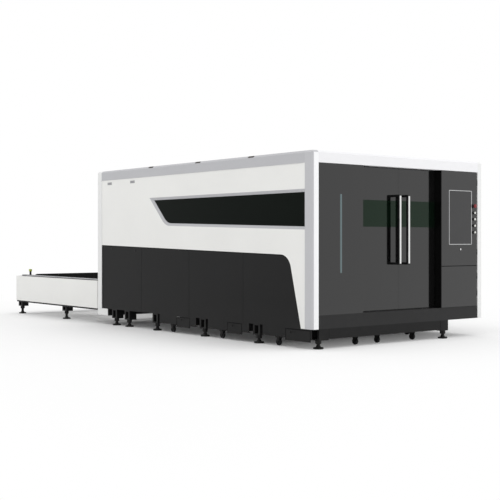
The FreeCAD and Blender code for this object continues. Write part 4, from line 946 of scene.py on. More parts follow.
@dataclass
class LevellingFeet:
    """Round pads, threaded studs and lock nuts under every foot bracket."""

    side_places: Sequence[float] = (1.062, 2.203, 3.356, 4.110, 4.470)
    table_places: Sequence[float] = (6.045, 7.650)
    corner: tuple[float, float] = (0.170, 0.090)
    plain_corner: tuple[float, float] = (0.050, 0.062)
    bracket_bottom: float = 0.105
    table_bracket_bottom: float = 0.130
    pad_radius: float = 0.0615
    pad_rim: float = 0.020
    pad_height: float = 0.034
    neck_radius: float = 0.0235
    stud_radius: float = 0.0155
    nut_size: float = 0.073
    nut_height: float = 0.045
    stud_above: float = 0.040
    thread_pitch: float = 0.004

    def places(self) -> dict[float, list[Spot]]:
        """Return the feet by the height of their brackets."""
        bed = [(x, y) for y in self.side_places for x in (FOOT_INSET, BED_RIGHT - FOOT_INSET)]
        bed += [self.corner, (BED_RIGHT - self.plain_corner[0], self.plain_corner[1])]
        table = [(x, y) for y in self.table_places
                 for x in (FOOT_INSET, TABLE_WIDTH - FOOT_INSET)]
        return {bottom: [((across(x), along(y), 0.0), Facing.UP) for x, y in group]
                for bottom, group in ((self.bracket_bottom, bed),
                                      (self.table_bracket_bottom, table))}

    def thread(self, bottom: float) -> Profile:
        """Return the outline of the stud above a bracket at this height."""
        crest, root = self.stud_radius, self.stud_radius * 0.88
        start, top = bottom - 0.002, bottom + self.stud_above
        turns = int((top - start - 0.004) / self.thread_pitch)
        line = [(0, start)]
        for i in range(turns):
            z = start + i * self.thread_pitch
            line += [(root, z), (crest, z + self.thread_pitch / 2)]
        return [*line, (root, start + turns * self.thread_pitch), (crest * 0.7, top), (0, top)]

    def foot(self, bottom: float) -> bpy.types.Mesh:
        """Return one foot for a bracket at this height."""
        draft = Draft()
        r, h, rim, neck = self.pad_radius, self.pad_height, self.pad_rim, self.neck_radius
        nut, seat = self.nut_size, bottom - self.nut_height
        draft.lathe([(0, 0), (r * 0.95, 0), (r, 0.003), (r, rim - 0.003), (r * 0.95, rim),
                     (r * 0.56, rim + 0.001), (r * 0.50, rim + (h - rim) * 0.40),
                     (neck * 1.16, h - 0.001), (neck * 1.12, h + 0.003), (neck, h + 0.006),
                     (neck * 0.90, h + 0.009), (neck * 0.90, seat - 0.004),
                     (neck, seat - 0.001), (neck, seat), (0, seat)], sides=32)
        draft.lathe(self.thread(bottom), sides=12)
        draft.prism(polygon(nut / 2, 6), seat + 0.003, bottom - 0.001)
        draft.lathe([(0, seat), (nut * 0.40, seat), (nut * 0.433, seat + 0.003),
                     (0, seat + 0.003)])
        return draft.mesh("foot")

    def make(self) -> None:
        """Stand every foot."""
        for number, (bottom, places) in enumerate(self.places().items(), start=1):
            Scatter(self.foot(bottom), 0.5, number).over(
                places, f"levelling_feet_{number}", BLACK_STEEL, Body.MACHINE,
                ["levelling_feet"])


@dataclass
class Casters:
    """Wheels of the transport casters, with treads, hubs and axle bolts."""

    side_rows: Sequence[float] = (0.677, 1.813, 2.953)
    front_row: float = 0.163
    front_places: Sequence[float] = (0.843, 1.219, 1.854)
    radius: float = 0.042
    width: float = 0.032
    bore: float = 0.0063
    lift: float = 0.003
    fork_gap: float = 0.0046
    bolt_size: float = 0.019

    def wheel(self) -> bpy.types.Mesh:
        """Return one wheel, its axis along z, centred on its middle."""
        draft = Draft()
        r, half = self.radius, self.width / 2
        draft.lathe([(self.bore, -half * 0.96), (r * 0.34, -half), (r * 0.40, -half * 0.6),
                     (r * 0.72, -half * 0.6), (r * 0.78, -half * 0.92), (r * 0.93, -half * 0.92),
                     (r * 0.985, -half * 0.6), (r, 0), (r * 0.985, half * 0.6),
                     (r * 0.93, half * 0.92), (r * 0.78, half * 0.92), (r * 0.72, half * 0.6),
                     (r * 0.40, half * 0.6), (r * 0.34, half), (self.bore, half * 0.96)],
                    sides=32)
        return draft.mesh("wheel")

    def make(self) -> None:
        """Put the wheels of each row on their own body, and the bolts on the forks."""
        sides = (FOOT_INSET, BED_RIGHT - FOOT_INSET)
        rows = [(self.front_row, self.front_places)] + [(y, sides) for y in self.side_rows]
        bolts = []
        z = self.radius + self.lift
        cheek = self.width / 2 + self.fork_gap
        for number, (y, places) in enumerate(rows, start=1):
            spots = [((across(x), along(y), z), Facing.RIGHT) for x in places]
            Scatter(self.wheel(), 0.0, number).over(
                spots, f"wheels_row_{number}", TREAD,
                f"caster_wheels_{number}", [f"caster_wheels_{number}"])
            bolts += [((across(x) + side * cheek, along(y), z), facing) for x in places
                      for side, facing in ((-1, Facing.LEFT), (1, Facing.RIGHT))]
        draft = Draft()
        draft.prism(polygon(self.bolt_size / 2, 6), -0.001, 0.0045)
        Scatter(draft.mesh("bolt"), 1.0, 5).over(bolts, "caster_axle_bolts", BLACK_STEEL,
                                                 Body.MACHINE)


@dataclass
class Pallet:
    """A pallet: channel frame, flanged rollers and a bed of toothed slats."""

    name: str
    start: float
    level: float
    body: Body
    node: str
    length: float = 2.600
    half: float = 0.770
    rail: tuple[float, float] = (0.050, 0.060)
    web: float = 0.010
    slat_pitch: float = 0.096
    slats: int = 25
    slat_height: float = 0.076
    slat_thickness: float = 0.004
    roller: tuple[float, float] = (0.030, 0.030)
    clearance: float = 0.0003
    end_bar_inset: float = 0.0005
    slat_seat: float = 0.036
    teeth: int = 48
    tooth_height: float = 0.020
    burn: float = 0.45
    roller_shares: Sequence[float] = (0.04, 0.5, 0.96)

    def base(self) -> float:
        """Return the height of the frame's underside."""
        return self.level + self.clearance + self.roller[0] - self.rail[1] * 0.8

    def make(self) -> None:
        """Make the frame, the rollers and the slats."""
        self.make_frame()
        self.make_rollers()
        self.make_slats()

    def make_frame(self) -> None:
        """Make the side channels and the end bars."""
        draft = Draft()
        w, h = self.rail
        low = self.base()
        y0, y1 = along(self.start), along(self.start + self.length)
        for side in (-1, 1):
            outer = CENTRE_X + side * self.half
            lip, web = outer - side * w, outer - side * self.web
            section = [(outer, low), (lip, low), (lip, low + self.web), (web, low + self.web),
                       (web, low + h - self.web), (lip, low + h - self.web), (lip, low + h),
                       (outer, low + h)]
            draft.prism(section, y0, y1, PUSHED_ALONG_Y)
        shy, reach = self.end_bar_inset, self.half - self.end_bar_inset
        for end in (y0, y1 - w):
            draft.box((CENTRE_X - reach, CENTRE_X + reach), (end + shy, end + w - shy),
                      (low + shy, low + h - shy))
        draft.piece(f"{self.name}_frame", BLACK_STEEL, "slat_steel", self.body, [self.node],
                    0.002)

    def make_rollers(self) -> None:
        """Make the rollers that carry the pallet on its tracks."""
        draft = Draft()
        r, w = self.roller
        draft.lathe([(0, 0), (r * 0.4, 0), (r * 0.45, 0.002), (r * 0.85, 0.002), (r, 0.005),
                     (r, w - 0.004), (r * 0.9, w - 0.001), (r * 0.5, w - 0.001),
                     (r * 0.45, w - 0.004), (r * 0.2, w - 0.004), (0, w - 0.002)])
        spots = []
        z = self.level + r + self.clearance
        for share in self.roller_shares:
            y = along(self.start + share * self.length)
            spots += [((CENTRE_X - self.half, y, z), Facing.LEFT),
                      ((CENTRE_X + self.half, y, z), Facing.RIGHT)]
        Scatter(draft.mesh("roller"), 0.3, 3).over(spots, f"{self.name}_rollers", BARE,
                                                   self.body, [self.node])

    def make_slats(self) -> None:
        """Make the slats with their burnt teeth."""
        low = self.base() + self.rail[1] - self.slat_seat
        tree = bpy.data.node_groups.get("toothed_slats") or slat_recipe()
        finish = replace(SLAT, name=f"{self.name}_slat_steel", low=low + 0.02,
                         high=low + self.slat_height)
        mesh = run_recipe(tree, bpy.data.meshes.new("seed"), {
            "Slats": self.slats, "Slat Pitch": self.slat_pitch,
            "Slat Length": 2 * (self.half - self.rail[0]), "Slat Height": self.slat_height,
            "Thickness": self.slat_thickness, "Teeth": self.teeth,
            "Tooth Height": self.tooth_height, "Burn": self.burn,
            "Seed": 11 if self.body is Body.INNER_PALLET else 23,
            "Place": (CENTRE_X, along(self.start + self.length / 2), low),
            "Finish": finish.material()})
        finished(mesh, f"{self.name}_slats", finish, self.body, [self.node])


@dataclass
class Handles:
    """Bow handles: black bodies with brushed strips."""

    offset: float = 0.079
    seam: float = 1.550
    recess: float = 0.113
    reach: float = 0.112
    low: float = 0.970
    high: float = 1.845
    width: float = 0.044
    depth: float = 0.028
    strip: tuple[float, float] = (0.028, 0.006)

    def make(self) -> None:
        """Make both handles."""
        for side, sign, body in (("left", -1, Body.LEFT_DOOR), ("right", 1, Body.RIGHT_DOOR)):
            x = across(self.seam + sign * self.offset)
            self.make_body(side, x, body)
            self.make_strip(side, x, body)

    def make_body(self, side: str, x: float, body: Body) -> None:
        """Make the black bow of one handle."""
        face = along(self.recess)
        grip = along(self.recess - self.reach + self.strip[1])
        t = self.depth
        lower, upper = ([(grip + t / 2 + t / 2 * math.cos(turn + math.pi / 2 * k / 6),
                          z + t / 2 * math.sin(turn + math.pi / 2 * k / 6)) for k in range(7)]
                        for z, turn in ((self.low + t / 2, math.pi),
                                        (self.high - t / 2, math.pi / 2)))
        points = [*lower, (face, self.low), (face, self.low + t), (grip + t, self.low + t),
                  (grip + t, self.high - t), (face, self.high - t), (face, self.high), *upper]
        draft = Draft()
        draft.prism(points, x - self.width / 2, x + self.width / 2, PUSHED_ALONG_X)
        draft.piece(f"handle_{side}_bow", BLACK, "black_plastic", body, [f"handle_{side}"],
                    0.003)

    def make_strip(self, side: str, x: float, body: Body) -> None:
        """Make the brushed strip of one handle."""
        draft = Draft()
        front = along(self.recess - self.reach)
        height = self.high - self.low - self.depth
        middle = (self.high + self.low) / 2
        stand = Matrix.Translation((x, front, middle)) @ PUSHED_ALONG_Y
        draft.prism(rounded(self.strip[0], height, 0.006), 0.0, self.strip[1] - 0.0002, stand)
        draft.piece(f"handle_{side}_strip", STRIP, "bare_steel", body, [f"handle_{side}"],
                    0.0012)


@dataclass
class ConsoleFittings:
    """Screen, stop button, push buttons with collars, and key lock on the upper door."""

    face: float = 0.006
    column: float = 2.880
    stop_height: float = 1.730
    button_heights: Sequence[float] = (1.640, 1.555, 1.469, 1.381)
    collar: tuple[float, float] = (0.0185, 0.014)
    key_place: tuple[float, float] = (2.612, 1.157)
    key_radius: float = 0.012
    screen: tuple[float, float, float, float] = (2.381, 2.837, 1.218, 1.931)
    screen_proud: float = 0.006
    bezel: float = 0.009
    seal: tuple[float, float] = (0.007, 0.0008)
    bore: float = 0.0086
    cap: Profile = ((0, 0), (0.0074, 0), (0.0074, 0.0185), (0.0142, 0.0185), (0.0148, 0.020),
                    (0.0148, 0.0275), (0.0135, 0.0300), (0.0112, 0.0316), (0.0090, 0.0312),
                    (0.0060, 0.0303), (0, 0.0300))
    stop_radius: float = 0.0276
    lock_top: float = 0.0070
    slot_floor: float = 0.0030
    slot_half: tuple[float, float] = (0.0014, 0.006)

    def on_face(self, x: float, z: float) -> Matrix:
        """Return a stand on the console's face, its z towards the front."""
        return Facing.FRONT.frame_at((across(x), along(self.face), z))

    def make(self) -> None:
        """Make every fitting."""
        self.make_screen()
        self.make_collars()
        self.make_buttons()
        self.make_stop()
        self.make_lock_rim()
        self.make_lock_barrel()
        self.make_seal()

    def make_seal(self) -> None:
        """Make the black seal along the top edge of the lower door."""
        low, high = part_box("console_lower_door")
        tall, proud = self.seal
        draft = Draft()
        draft.box((low[0] + 0.002, high[0] - 0.002), (along(self.face - proud), along(self.face)),
                  (high[2] - tall, high[2] - 0.0004))
        draft.piece("console_door_seal", SEAL_AND_SHADOW_BLACK, "black_plastic", Body.LOWER_DOOR, bevel=0.0002)

    def make_screen(self) -> None:
        """Make the silver surround with round corners and the dark screen in it."""
        left, right, low, high = self.screen
        stand = self.on_face((left + right) / 2, (low + high) / 2)

        def ring(inset: float, radius: float) -> Profile:
            """Return the screen's outline, smaller by this inset."""
            return rounded(right - left - inset, high - low - inset, radius)

        rise, frame_width, ease = self.screen_proud, 2 * self.bezel, 0.003
        outer, inner = ring(0.0, 0.014), ring(frame_width, 0.006)
        surround, glass = Draft(), Draft()
        surround.add(*walls([(outer, 0.0), (outer, rise - 0.0015), (ring(ease, 0.0125), rise),
                             (ring(frame_width - ease, 0.0075), rise), (inner, rise - 0.002),
                             (inner, 0.0)], stand, looped=True))
        surround.piece("screen_surround", BEZEL, "screen", Body.UPPER_DOOR, ["touch_screen"])
        glass.prism(inner, 0.0, rise * 0.62, stand)
        glass.piece("screen_glass", SCREEN, "screen", Body.UPPER_DOOR, ["touch_screen"], 0.0006)

    def make_collars(self) -> None:
        """Make the black collars round the buttons."""
        draft = Draft()
        r, proud = self.collar
        draft.lathe([(self.bore, 0.0), (r, 0.0), (r, proud - 0.003), (r - 0.003, proud + 0.0001),
                     (0.0105, proud + 0.0001), (self.bore, proud - 0.001)], sides=32)
        spots = [((across(self.column), along(self.face), z), Facing.FRONT)
                 for z in (self.stop_height, *self.button_heights)]
        Scatter(draft.mesh("collar"), 0.0, 1).over(spots, "button_collars", BLACK,
                                                   Body.UPPER_DOOR)

    def make_buttons(self) -> None:
        """Make the four push-button caps."""
        for number, z in enumerate(self.button_heights, start=1):
            draft = Draft()
            draft.lathe(self.cap, self.on_face(self.column, z), 32)
            draft.piece(f"button_cap_{number}", CAP, "button_plastic", f"push_button_{number}",
                        [f"push_button_{number}"])

    def make_stop(self) -> None:
        """Make the mushroom of the emergency stop."""
        draft = Draft()
        r = self.stop_radius
        draft.lathe([(0, 0), (0.0074, 0), (0.0074, 0.0195), (0.0200, 0.0197), (r * 0.94, 0.0215),
                     (r, 0.0250), (r, 0.0290), (r * 0.95, 0.0335), (r * 0.82, 0.0370),
                     (r * 0.6, 0.0388), (r * 0.3, 0.0395), (0, 0.0396)],
                    self.on_face(self.column, self.stop_height), 40)
        draft.piece("stop_mushroom", RED, "red_plastic", Body.STOP, ["emergency_stop"])

    def make_lock_rim(self) -> None:
        """Make the rim of the key lock."""
        draft = Draft()
        r = self.key_radius
        draft.lathe([(r + 0.0004, 0.0), (r * 1.30, 0.0), (r * 1.30, 0.0025), (r * 1.2, 0.0042),
                     (r * 1.08, 0.0042), (r + 0.0004, 0.003)], self.on_face(*self.key_place), 32)
        draft.piece("lock_rim", PLATE, "lock_metal", Body.UPPER_DOOR)

    def make_lock_barrel(self) -> None:
        """Make the barrel of the key lock, with the key's slot sunk in its face."""
        sides, stand = 32, self.on_face(*self.key_place)
        top, (u, v) = self.lock_top, self.slot_half
        ring, eased_ring = (polygon(r, sides) for r in (self.key_radius, self.key_radius * 0.92))
        slot = [(u, -v), (u, v), (-u, v), (-u, -v)]
        points, faces = walls([(ring, 0.0), (ring, 0.0062), (eased_ring, top)], stand)
        slot_points, slot_faces = walls([(slot, top), (slot, self.slot_floor)], stand)
        start, last, quarter = len(points), 2 * sides, sides // 4
        faces.append(tuple(range(sides)))
        faces += [tuple(start + i for i in face) for face in (*slot_faces, (4, 5, 6, 7))]
        for q in range(4):
            arc = [last + (q * quarter + i) % sides for i in range(quarter + 1)]
            faces.append((*arc, start + (q + 2) % 4, start + (q + 1) % 4))
        draft = Draft()
        draft.add(points + slot_points, faces)
        draft.piece("lock_barrel", CHROME, "lock_metal", Body.KEY, ["key_lock"])


@dataclass
class PanelFittings:
    """Hinge plates, quarter-turn locks and roof plugs, in the finishes of their own."""

    plate: tuple[float, float, float] = (0.123, 0.037, 0.003)
    plate_places: Sequence[tuple[float, float]] = ((4.584, 2.128), (3.937, 2.128))
    lock_places: Sequence[tuple[float, float]] = ((4.534, 1.149), (3.885, 1.122))
    lock_radius: float = 0.0138
    setback: float = 0.006
    dark_setback: float = 0.010
    plug: tuple[float, float, float] = (0.115, 0.026, 0.006)
    plug_places: Sequence[float] = (1.157, 2.300, 3.449)
    roof: float = 2.325
    chamfer: float = 0.025

    def make(self) -> None:
        """Make the plates with their screws, the locks and the plugs."""
        self.make_plates()
        self.make_locks()
        self.make_plugs()

    def make_plates(self) -> None:
        """Make the hinge plates of the service flap."""
        draft = Draft()
        screws = []
        length, width, proud = self.plate
        for y, z in self.plate_places:
            stand = Facing.LEFT.frame_at((across(self.setback), along(y), z))
            draft.prism(rounded(width, length, 0.006), 0.0, proud - 0.0005, stand)
            for step in (-0.38, 0.38):
                screws.append(((across(self.setback - proud + 0.001), along(y + step * length),
                                z), Facing.LEFT))
        draft.piece("flap_hinge_plates", PLATE, "white_paint", Body.MACHINE, ["panel_fittings"],
                    0.001)
        Scatter(screw_head(0.006, 0.0012), math.tau, 4).over(
            screws, "hinge_plate_screws", CHROME, Body.MACHINE)

    def make_locks(self) -> None:
        """Make the quarter-turn locks of the access panels."""
        draft = Draft()
        r = self.lock_radius
        draft.lathe([(0, 0), (r, 0), (r, 0.0022), (r * 0.86, 0.0048), (r * 0.42, 0.0048),
                     (r * 0.40, 0.0026), (0, 0.0026)])
        spots = [((across(self.dark_setback), along(y), z), Facing.LEFT)
                 for y, z in self.lock_places]
        Scatter(draft.mesh("lock"), 0.4, 2).over(spots, "quarter_turn_locks", BLACK,
                                                 Body.MACHINE,
                                                 ["panel_fittings"])

    def make_plugs(self) -> None:
        """Make the oval plugs over the lifting holes."""
        draft = Draft()
        length, width, proud = self.plug
        turn = Vector((0, 0, 1)).rotation_difference(Vector((-1, 0, 1))).to_matrix().to_4x4()
        for y in self.plug_places:
            at = (across(self.chamfer / 2), along(y), self.roof - self.chamfer / 2)
            stand = Matrix.Translation(at) @ turn
            draft.prism(rounded(width, length, width * 0.45), -0.001, proud * 0.55, stand)
        draft.piece("roof_plugs", PLUG, "black_plastic", Body.MACHINE, ["panel_fittings"],
                    0.0008)


@dataclass
class ShadowGapStrips:
    """Black strips of painted shade along the dark panels and round the drawers, standing in for
    the shadow in their gaps, and plates behind the pull slots.
    """

    foot: tuple[float, float] = (0.212, 0.239)
    corner: tuple[float, float] = (0.429, 1.102)
    rear_top: tuple[float, float] = (4.814, 1.203)
    radius: float = 0.195
    width: float = 0.009
    depth: tuple[float, float] = (0.0072, 0.0101)
    drawers: Sequence[tuple[float, float]] = ((0.050, 0.496), (1.345, 1.645), (2.485, 2.800))
    drawer_height: tuple[float, float] = (0.087, 0.225)
    drawer_width: float = 0.007
    drawer_depth: tuple[float, float] = (0.0085, 0.0101)
    pull_places: Sequence[float] = (0.3505, 1.495, 2.6425)
    pull: tuple[float, float, float, float] = (0.118, 0.173, 0.205, 0.0161)

    def make(self) -> None:
        """Make the panel's shadow strip, and the shadow strip and the plate of each drawer."""
        # Painted shade: a black strip along the edge of the dark panels stands in for the shadow
        # in the gap there.
        line = [self.foot, *eased(self.foot, self.corner, self.rear_top, self.radius),
                self.rear_top, (self.rear_top[0], self.foot[1])]
        panel = Draft()
        panel.band([(along(y), z) for y, z in line], self.width,
                   *(across(x) for x in self.depth), PUSHED_ALONG_X)
        panel.piece("access_panel_seal", SEAL_AND_SHADOW_BLACK, "black_plastic", Body.MACHINE, bevel=0.0006)
        low, high = self.drawer_height
        # Painted shade: black strips round each drawer front stand in for the shadow in the gaps
        # round it.
        for number, (near, far) in enumerate(self.drawers, start=1):
            draft = Draft()
            draft.band([(along(near), low), (along(near), high), (along(far), high),
                        (along(far), low)], self.drawer_width,
                       *(across(x) for x in self.drawer_depth), PUSHED_ALONG_X)
            draft.piece(f"drawer_seal_{number}", SEAL_AND_SHADOW_BLACK, "black_plastic",
                        f"slag_drawer_{number}", bevel=0.0004)
        for number, place in enumerate(self.pull_places, start=1):
            self.make_plate(number, place)

    def make_plate(self, number: int, place: float) -> None:
        """Make the plate that closes the pull slot of one drawer from behind."""
        length, low, high, depth = self.pull
        draft = Draft()
        stand = Facing.RIGHT.frame_at((across(depth), along(place), (low + high) / 2))
        draft.prism(rounded(high - low, length, 0.010), 0.0, 0.0016, stand)
        draft.piece(f"drawer_pull_plate_{number}", DARK, "black_plastic",
                    f"slag_drawer_{number}", bevel=0.0004)


@dataclass
class Fasteners:
    """Screws on the rails, the roof pans and the rear wall."""

    rail_top: float = 0.753
    rail_places: Sequence[float] = (0.265, 2.135)
    rail_span: tuple[float, float] = (0.275, 4.600)
    rail_pitch: float = 0.120
    roof_edge: float = 0.082
    roof_height: float = 2.322
    length: float = 4.950
    width: float = 3.050
    rear_face: float = 4.944
    cross_rail_heights: Sequence[float] = (0.955, 1.155)
    cross_rail_face: float = 1.172
    cross_rail_span: tuple[float, float] = (0.300, 2.100)
    roof_inset: tuple[float, float] = (0.25, 0.20)
    rear_inset: float = 0.14
    rear_heights: tuple[float, float] = (0.270, 2.150)

    def make(self) -> None:
        """Make each group of screws on the body that carries it."""
        for name, spots, head, seed, finish, slot, body in (
                ("long_rail_screws", self.rail_spots(), (0.0075, 0.0010), 9, BLACK_STEEL,
                 "bare_steel", Body.MACHINE),
                ("cross_rail_screws", self.cross_rail_spots(), (0.0065, 0.0012), 10,
                 BLACK_STEEL, "bare_steel", Body.GANTRY),
                ("roof_pan_screws", self.roof_spots(), (0.0065, 0.0026), 12, CHROME,
                 "lock_metal", Body.MACHINE),
                ("rear_wall_screws", self.rear_spots(), (0.0075, 0.0026), 13, CHROME,
                 "lock_metal", Body.MACHINE)):
            Scatter(screw_head(*head), math.tau, seed).over(spots, name, finish, body)

    def rail_spots(self) -> list[Spot]:
        """Return the counterbored screws of the two long rails."""
        first, last = self.rail_span
        count = int((last - first) / self.rail_pitch)
        return [((across(x), along(first + i * self.rail_pitch), self.rail_top - 0.0010),
                 Facing.UP) for x in self.rail_places for i in range(count)]

    def cross_rail_spots(self) -> list[Spot]:
        """Return the screws of the rails on the gantry beam."""
        y = along(self.cross_rail_face + 0.0010)
        return [((across(x), y, z), Facing.FRONT) for z in self.cross_rail_heights
                for x in spread(*self.cross_rail_span, 16)]

    def roof_spots(self) -> list[Spot]:
        """Return the dome screws along the roof pans, first the long edges, then the short."""
        side, end = self.roof_inset
        edge, z = self.roof_edge, self.roof_height - 0.0005
        places = [(x, y) for y in spread(end, self.length - end, 14)
                  for x in (edge, self.width - edge)]
        places += [(x, y) for x in spread(side, self.width - side, 9)
                   for y in (edge, self.length - edge)]
        return [((across(x), along(y), z), Facing.UP) for x, y in places]

    def rear_spots(self) -> list[Spot]:
        """Return the screws round the rear wall, first the rows, then the columns."""
        left, right = self.rear_inset, self.width - self.rear_inset
        places = [(x, z) for x in spread(left, right, 12) for z in self.rear_heights]
        places += [(x, z) for z in spread(*self.rear_heights, 8)[1:-1] for x in (left, right)]
        return [((across(x), along(self.rear_face - 0.0002), z), Facing.BACK) for x, z in places]


@dataclass
class CuttingHead:
    """Cutting head: slide plate, collimator body, sensor cone and copper nozzle."""

    y: float = 1.050
    tip: float = 0.785
    radius: float = 0.038
    plate_half: float = 0.0618
    plate_span: tuple[float, float] = (0.0522, 0.0946)
    plate_top: float = 1.2948
    clamp_back: float = 0.0525
    clamp_height: tuple[float, float] = (0.120, 0.235)

    def make(self) -> None:
        """Make the head's body, its slide plate with the clamp, and its nozzle."""
        stand = Facing.UP.frame_at((CENTRE_X, along(self.y), self.tip))
        r = self.radius
        body = Draft()
        body.lathe([(0, 0.060), (r * 0.55, 0.060), (r * 0.97, 0.096), (r * 0.97, 0.168),
                    (r * 0.93, 0.170), (r * 0.93, 0.176), (r * 0.97, 0.178), (r * 0.97, 0.248),
                    (r * 0.79, 0.262), (r * 0.79, 0.330), (r * 0.75, 0.332), (r * 0.75, 0.338),
                    (r * 0.79, 0.340), (r * 0.79, 0.398), (r * 0.5, 0.411), (r * 0.49, 0.459),
                    (0, 0.459)], stand, 32)
        body.piece("head_body", ALUMINIUM, "aluminium", Body.HEAD, ["cutting_head"])
        plate = Draft()
        for half, span, height in (
                (self.plate_half, self.plate_span, (self.tip + 0.070, self.plate_top)),
                (r, (0.0, self.clamp_back), [self.tip + h for h in self.clamp_height])):
            plate.box((CENTRE_X - half, CENTRE_X + half), [along(self.y + y) for y in span],
                      height)
        plate.piece("head_slide_plate", BLACK_STEEL, "bare_steel", Body.HEAD, ["cutting_head"],
                    0.002)
        nozzle = Draft()
        nozzle.lathe([(0, 0), (0.0034, 0), (0.0105, 0.0140), (0.0118, 0.0160), (0.0118, 0.0260),
                      (0.0190, 0.0330), (0.0205, 0.0605), (0, 0.0605)], stand, 32)
        nozzle.piece("head_nozzle", COPPER, "bare_steel", Body.HEAD, ["cutting_head"])


@dataclass
class SillCaps:
    """Pale caps that close the ends of the rear sill tube."""

    span: tuple[float, float] = (4.642, 4.936)
    height: tuple[float, float] = (0.136, 0.2385)
    thickness: float = 0.0075
    ends: tuple[float, float] = (0.0120, 2.362)

    def make(self) -> None:
        """Make both caps."""
        draft = Draft()
        y = (along(self.span[0]), along(self.span[1]))
        near, far = (across(end) for end in self.ends)
        draft.box((near - self.thickness, near - 0.0003), y, self.height)
        draft.box((far + 0.0003, far + self.thickness), y, self.height)
        draft.piece("rear_sill_caps", WHITE_PALE, "white_paint", Body.MACHINE, bevel=0.002)


@dataclass
class TableFittings:
    """Lift columns, sensor posts and side strips of the exchange table."""

    column_places: Sequence[float] = (5.250, 7.450)
    column_inset: float = 0.262
    column_radius: float = 0.025
    foot: float = 0.229
    post_y: float = 7.340
    post_places: Sequence[float] = (0.058, 2.342)
    rail_top: float = 0.680
    rail_strip: tuple[float, float, float, float] = (0.0385, 0.0421, 0.6635, 0.6795)
    rail_end: float = 7.629
    # Partly real, partly painted shade: the dark skirt strips cover the dark frame strip and reach
    # below it, where the shadow under the skirt falls.
    skirt_strip: tuple[float, float, float, float] = (0.0040, 0.0101, 0.205, 0.2285)
    skirt_end: float = 7.751
    strip_start: float = 4.951
    stem: tuple[float, float] = (0.028, 0.060)
    cap: tuple[float, float] = (0.044, 0.098)

    def make(self) -> None:
        """Make the columns, the posts and the strips along the sides."""
        self.make_columns()
        self.make_posts()
        self.make_strips("table_rail_strips", self.rail_strip, self.rail_end, SILVER)
        # Dark skirt strips: dark frame, with painted shade below it.
        self.make_strips("table_skirt_strips", self.skirt_strip, self.skirt_end, DARK)

    def make_strips(self, name: str, section: tuple[float, float, float, float], end: float,
                    finish: Finish) -> None:
        """Make a strip along both sides of the table.

        Args:
            name: The piece's name.
            section: From where to where it reaches in x, then in z.
            end: Where it ends behind the front plane.
            finish: Its finish.
        """
        draft = Draft()
        near, far, low, high = section
        y = (along(self.strip_start), along(end))
        for x in ((near, far), (TABLE_WIDTH - far, TABLE_WIDTH - near)):
            draft.box([across(edge) for edge in x], y, (low, high))
        draft.piece(name, finish, "black_steel", Body.MACHINE, bevel=0.0008)

    def make_columns(self) -> None:
        """Make the tubes of the lift columns."""
        draft = Draft()
        r = self.column_radius
        draft.lathe([(0, 0), (1.66 * r, 0), (1.7 * r, 0.002), (1.7 * r, 0.013),
                     (1.62 * r, 0.016), (r * 0.995, 0.016), (r * 0.995, 0.408),
                     (0.9 * r, 0.4155), (0, 0.4155)], sides=32)
        spots = [((across(x), along(y), self.foot), Facing.UP) for y in self.column_places
                 for x in (self.column_inset, TABLE_WIDTH - self.column_inset)]
        Scatter(draft.mesh("column"), 0.0, 1).over(spots, "lift_column_tubes", BARE,
                                                   Body.MACHINE, ["lift_columns"])

    def make_posts(self) -> None:
        """Make the stems and the caps of the sensor posts."""
        stems, caps = Draft(), Draft()
        for x in self.post_places:
            stand = Facing.UP.frame_at((across(x), along(self.post_y), self.rail_top))
            (stem, neck), (cap, top) = self.stem, self.cap
            stems.prism(rounded(stem, stem, 0.004, 3), 0.0, neck, stand)
            caps.prism(rounded(cap, cap, 0.010, 4), neck, top, stand)
        stems.piece("sensor_post_stems", BLACK, "black_plastic", Body.MACHINE, ["guard_posts"],
                    0.001)
        caps.piece("sensor_post_caps", YELLOW_GREEN, "black_plastic", Body.MACHINE,
                   ["guard_posts"], 0.002)


# ---- studio -------------------------------------------------------------------------------------
@dataclass(frozen=True)
class Softbox:
    """A square lamp that isn't seen in gloss."""

    name: str
    place: Point
    aim: Point
    size: float
    power: float

    def make(self) -> None:
        """Hang the lamp."""
        data = bpy.data.lights.new(self.name, "AREA")
        data.shape = "SQUARE"
        data.size = self.size
        data.energy = self.power
        lamp = bpy.data.objects.new(self.name, data)
        lamp.location = self.place
        towards = Vector(self.aim) - Vector(self.place)
        lamp.rotation_euler = towards.to_track_quat("-Z", "Y").to_euler()
        lamp.visible_glossy = False
        bpy.context.scene.collection.objects.link(lamp)


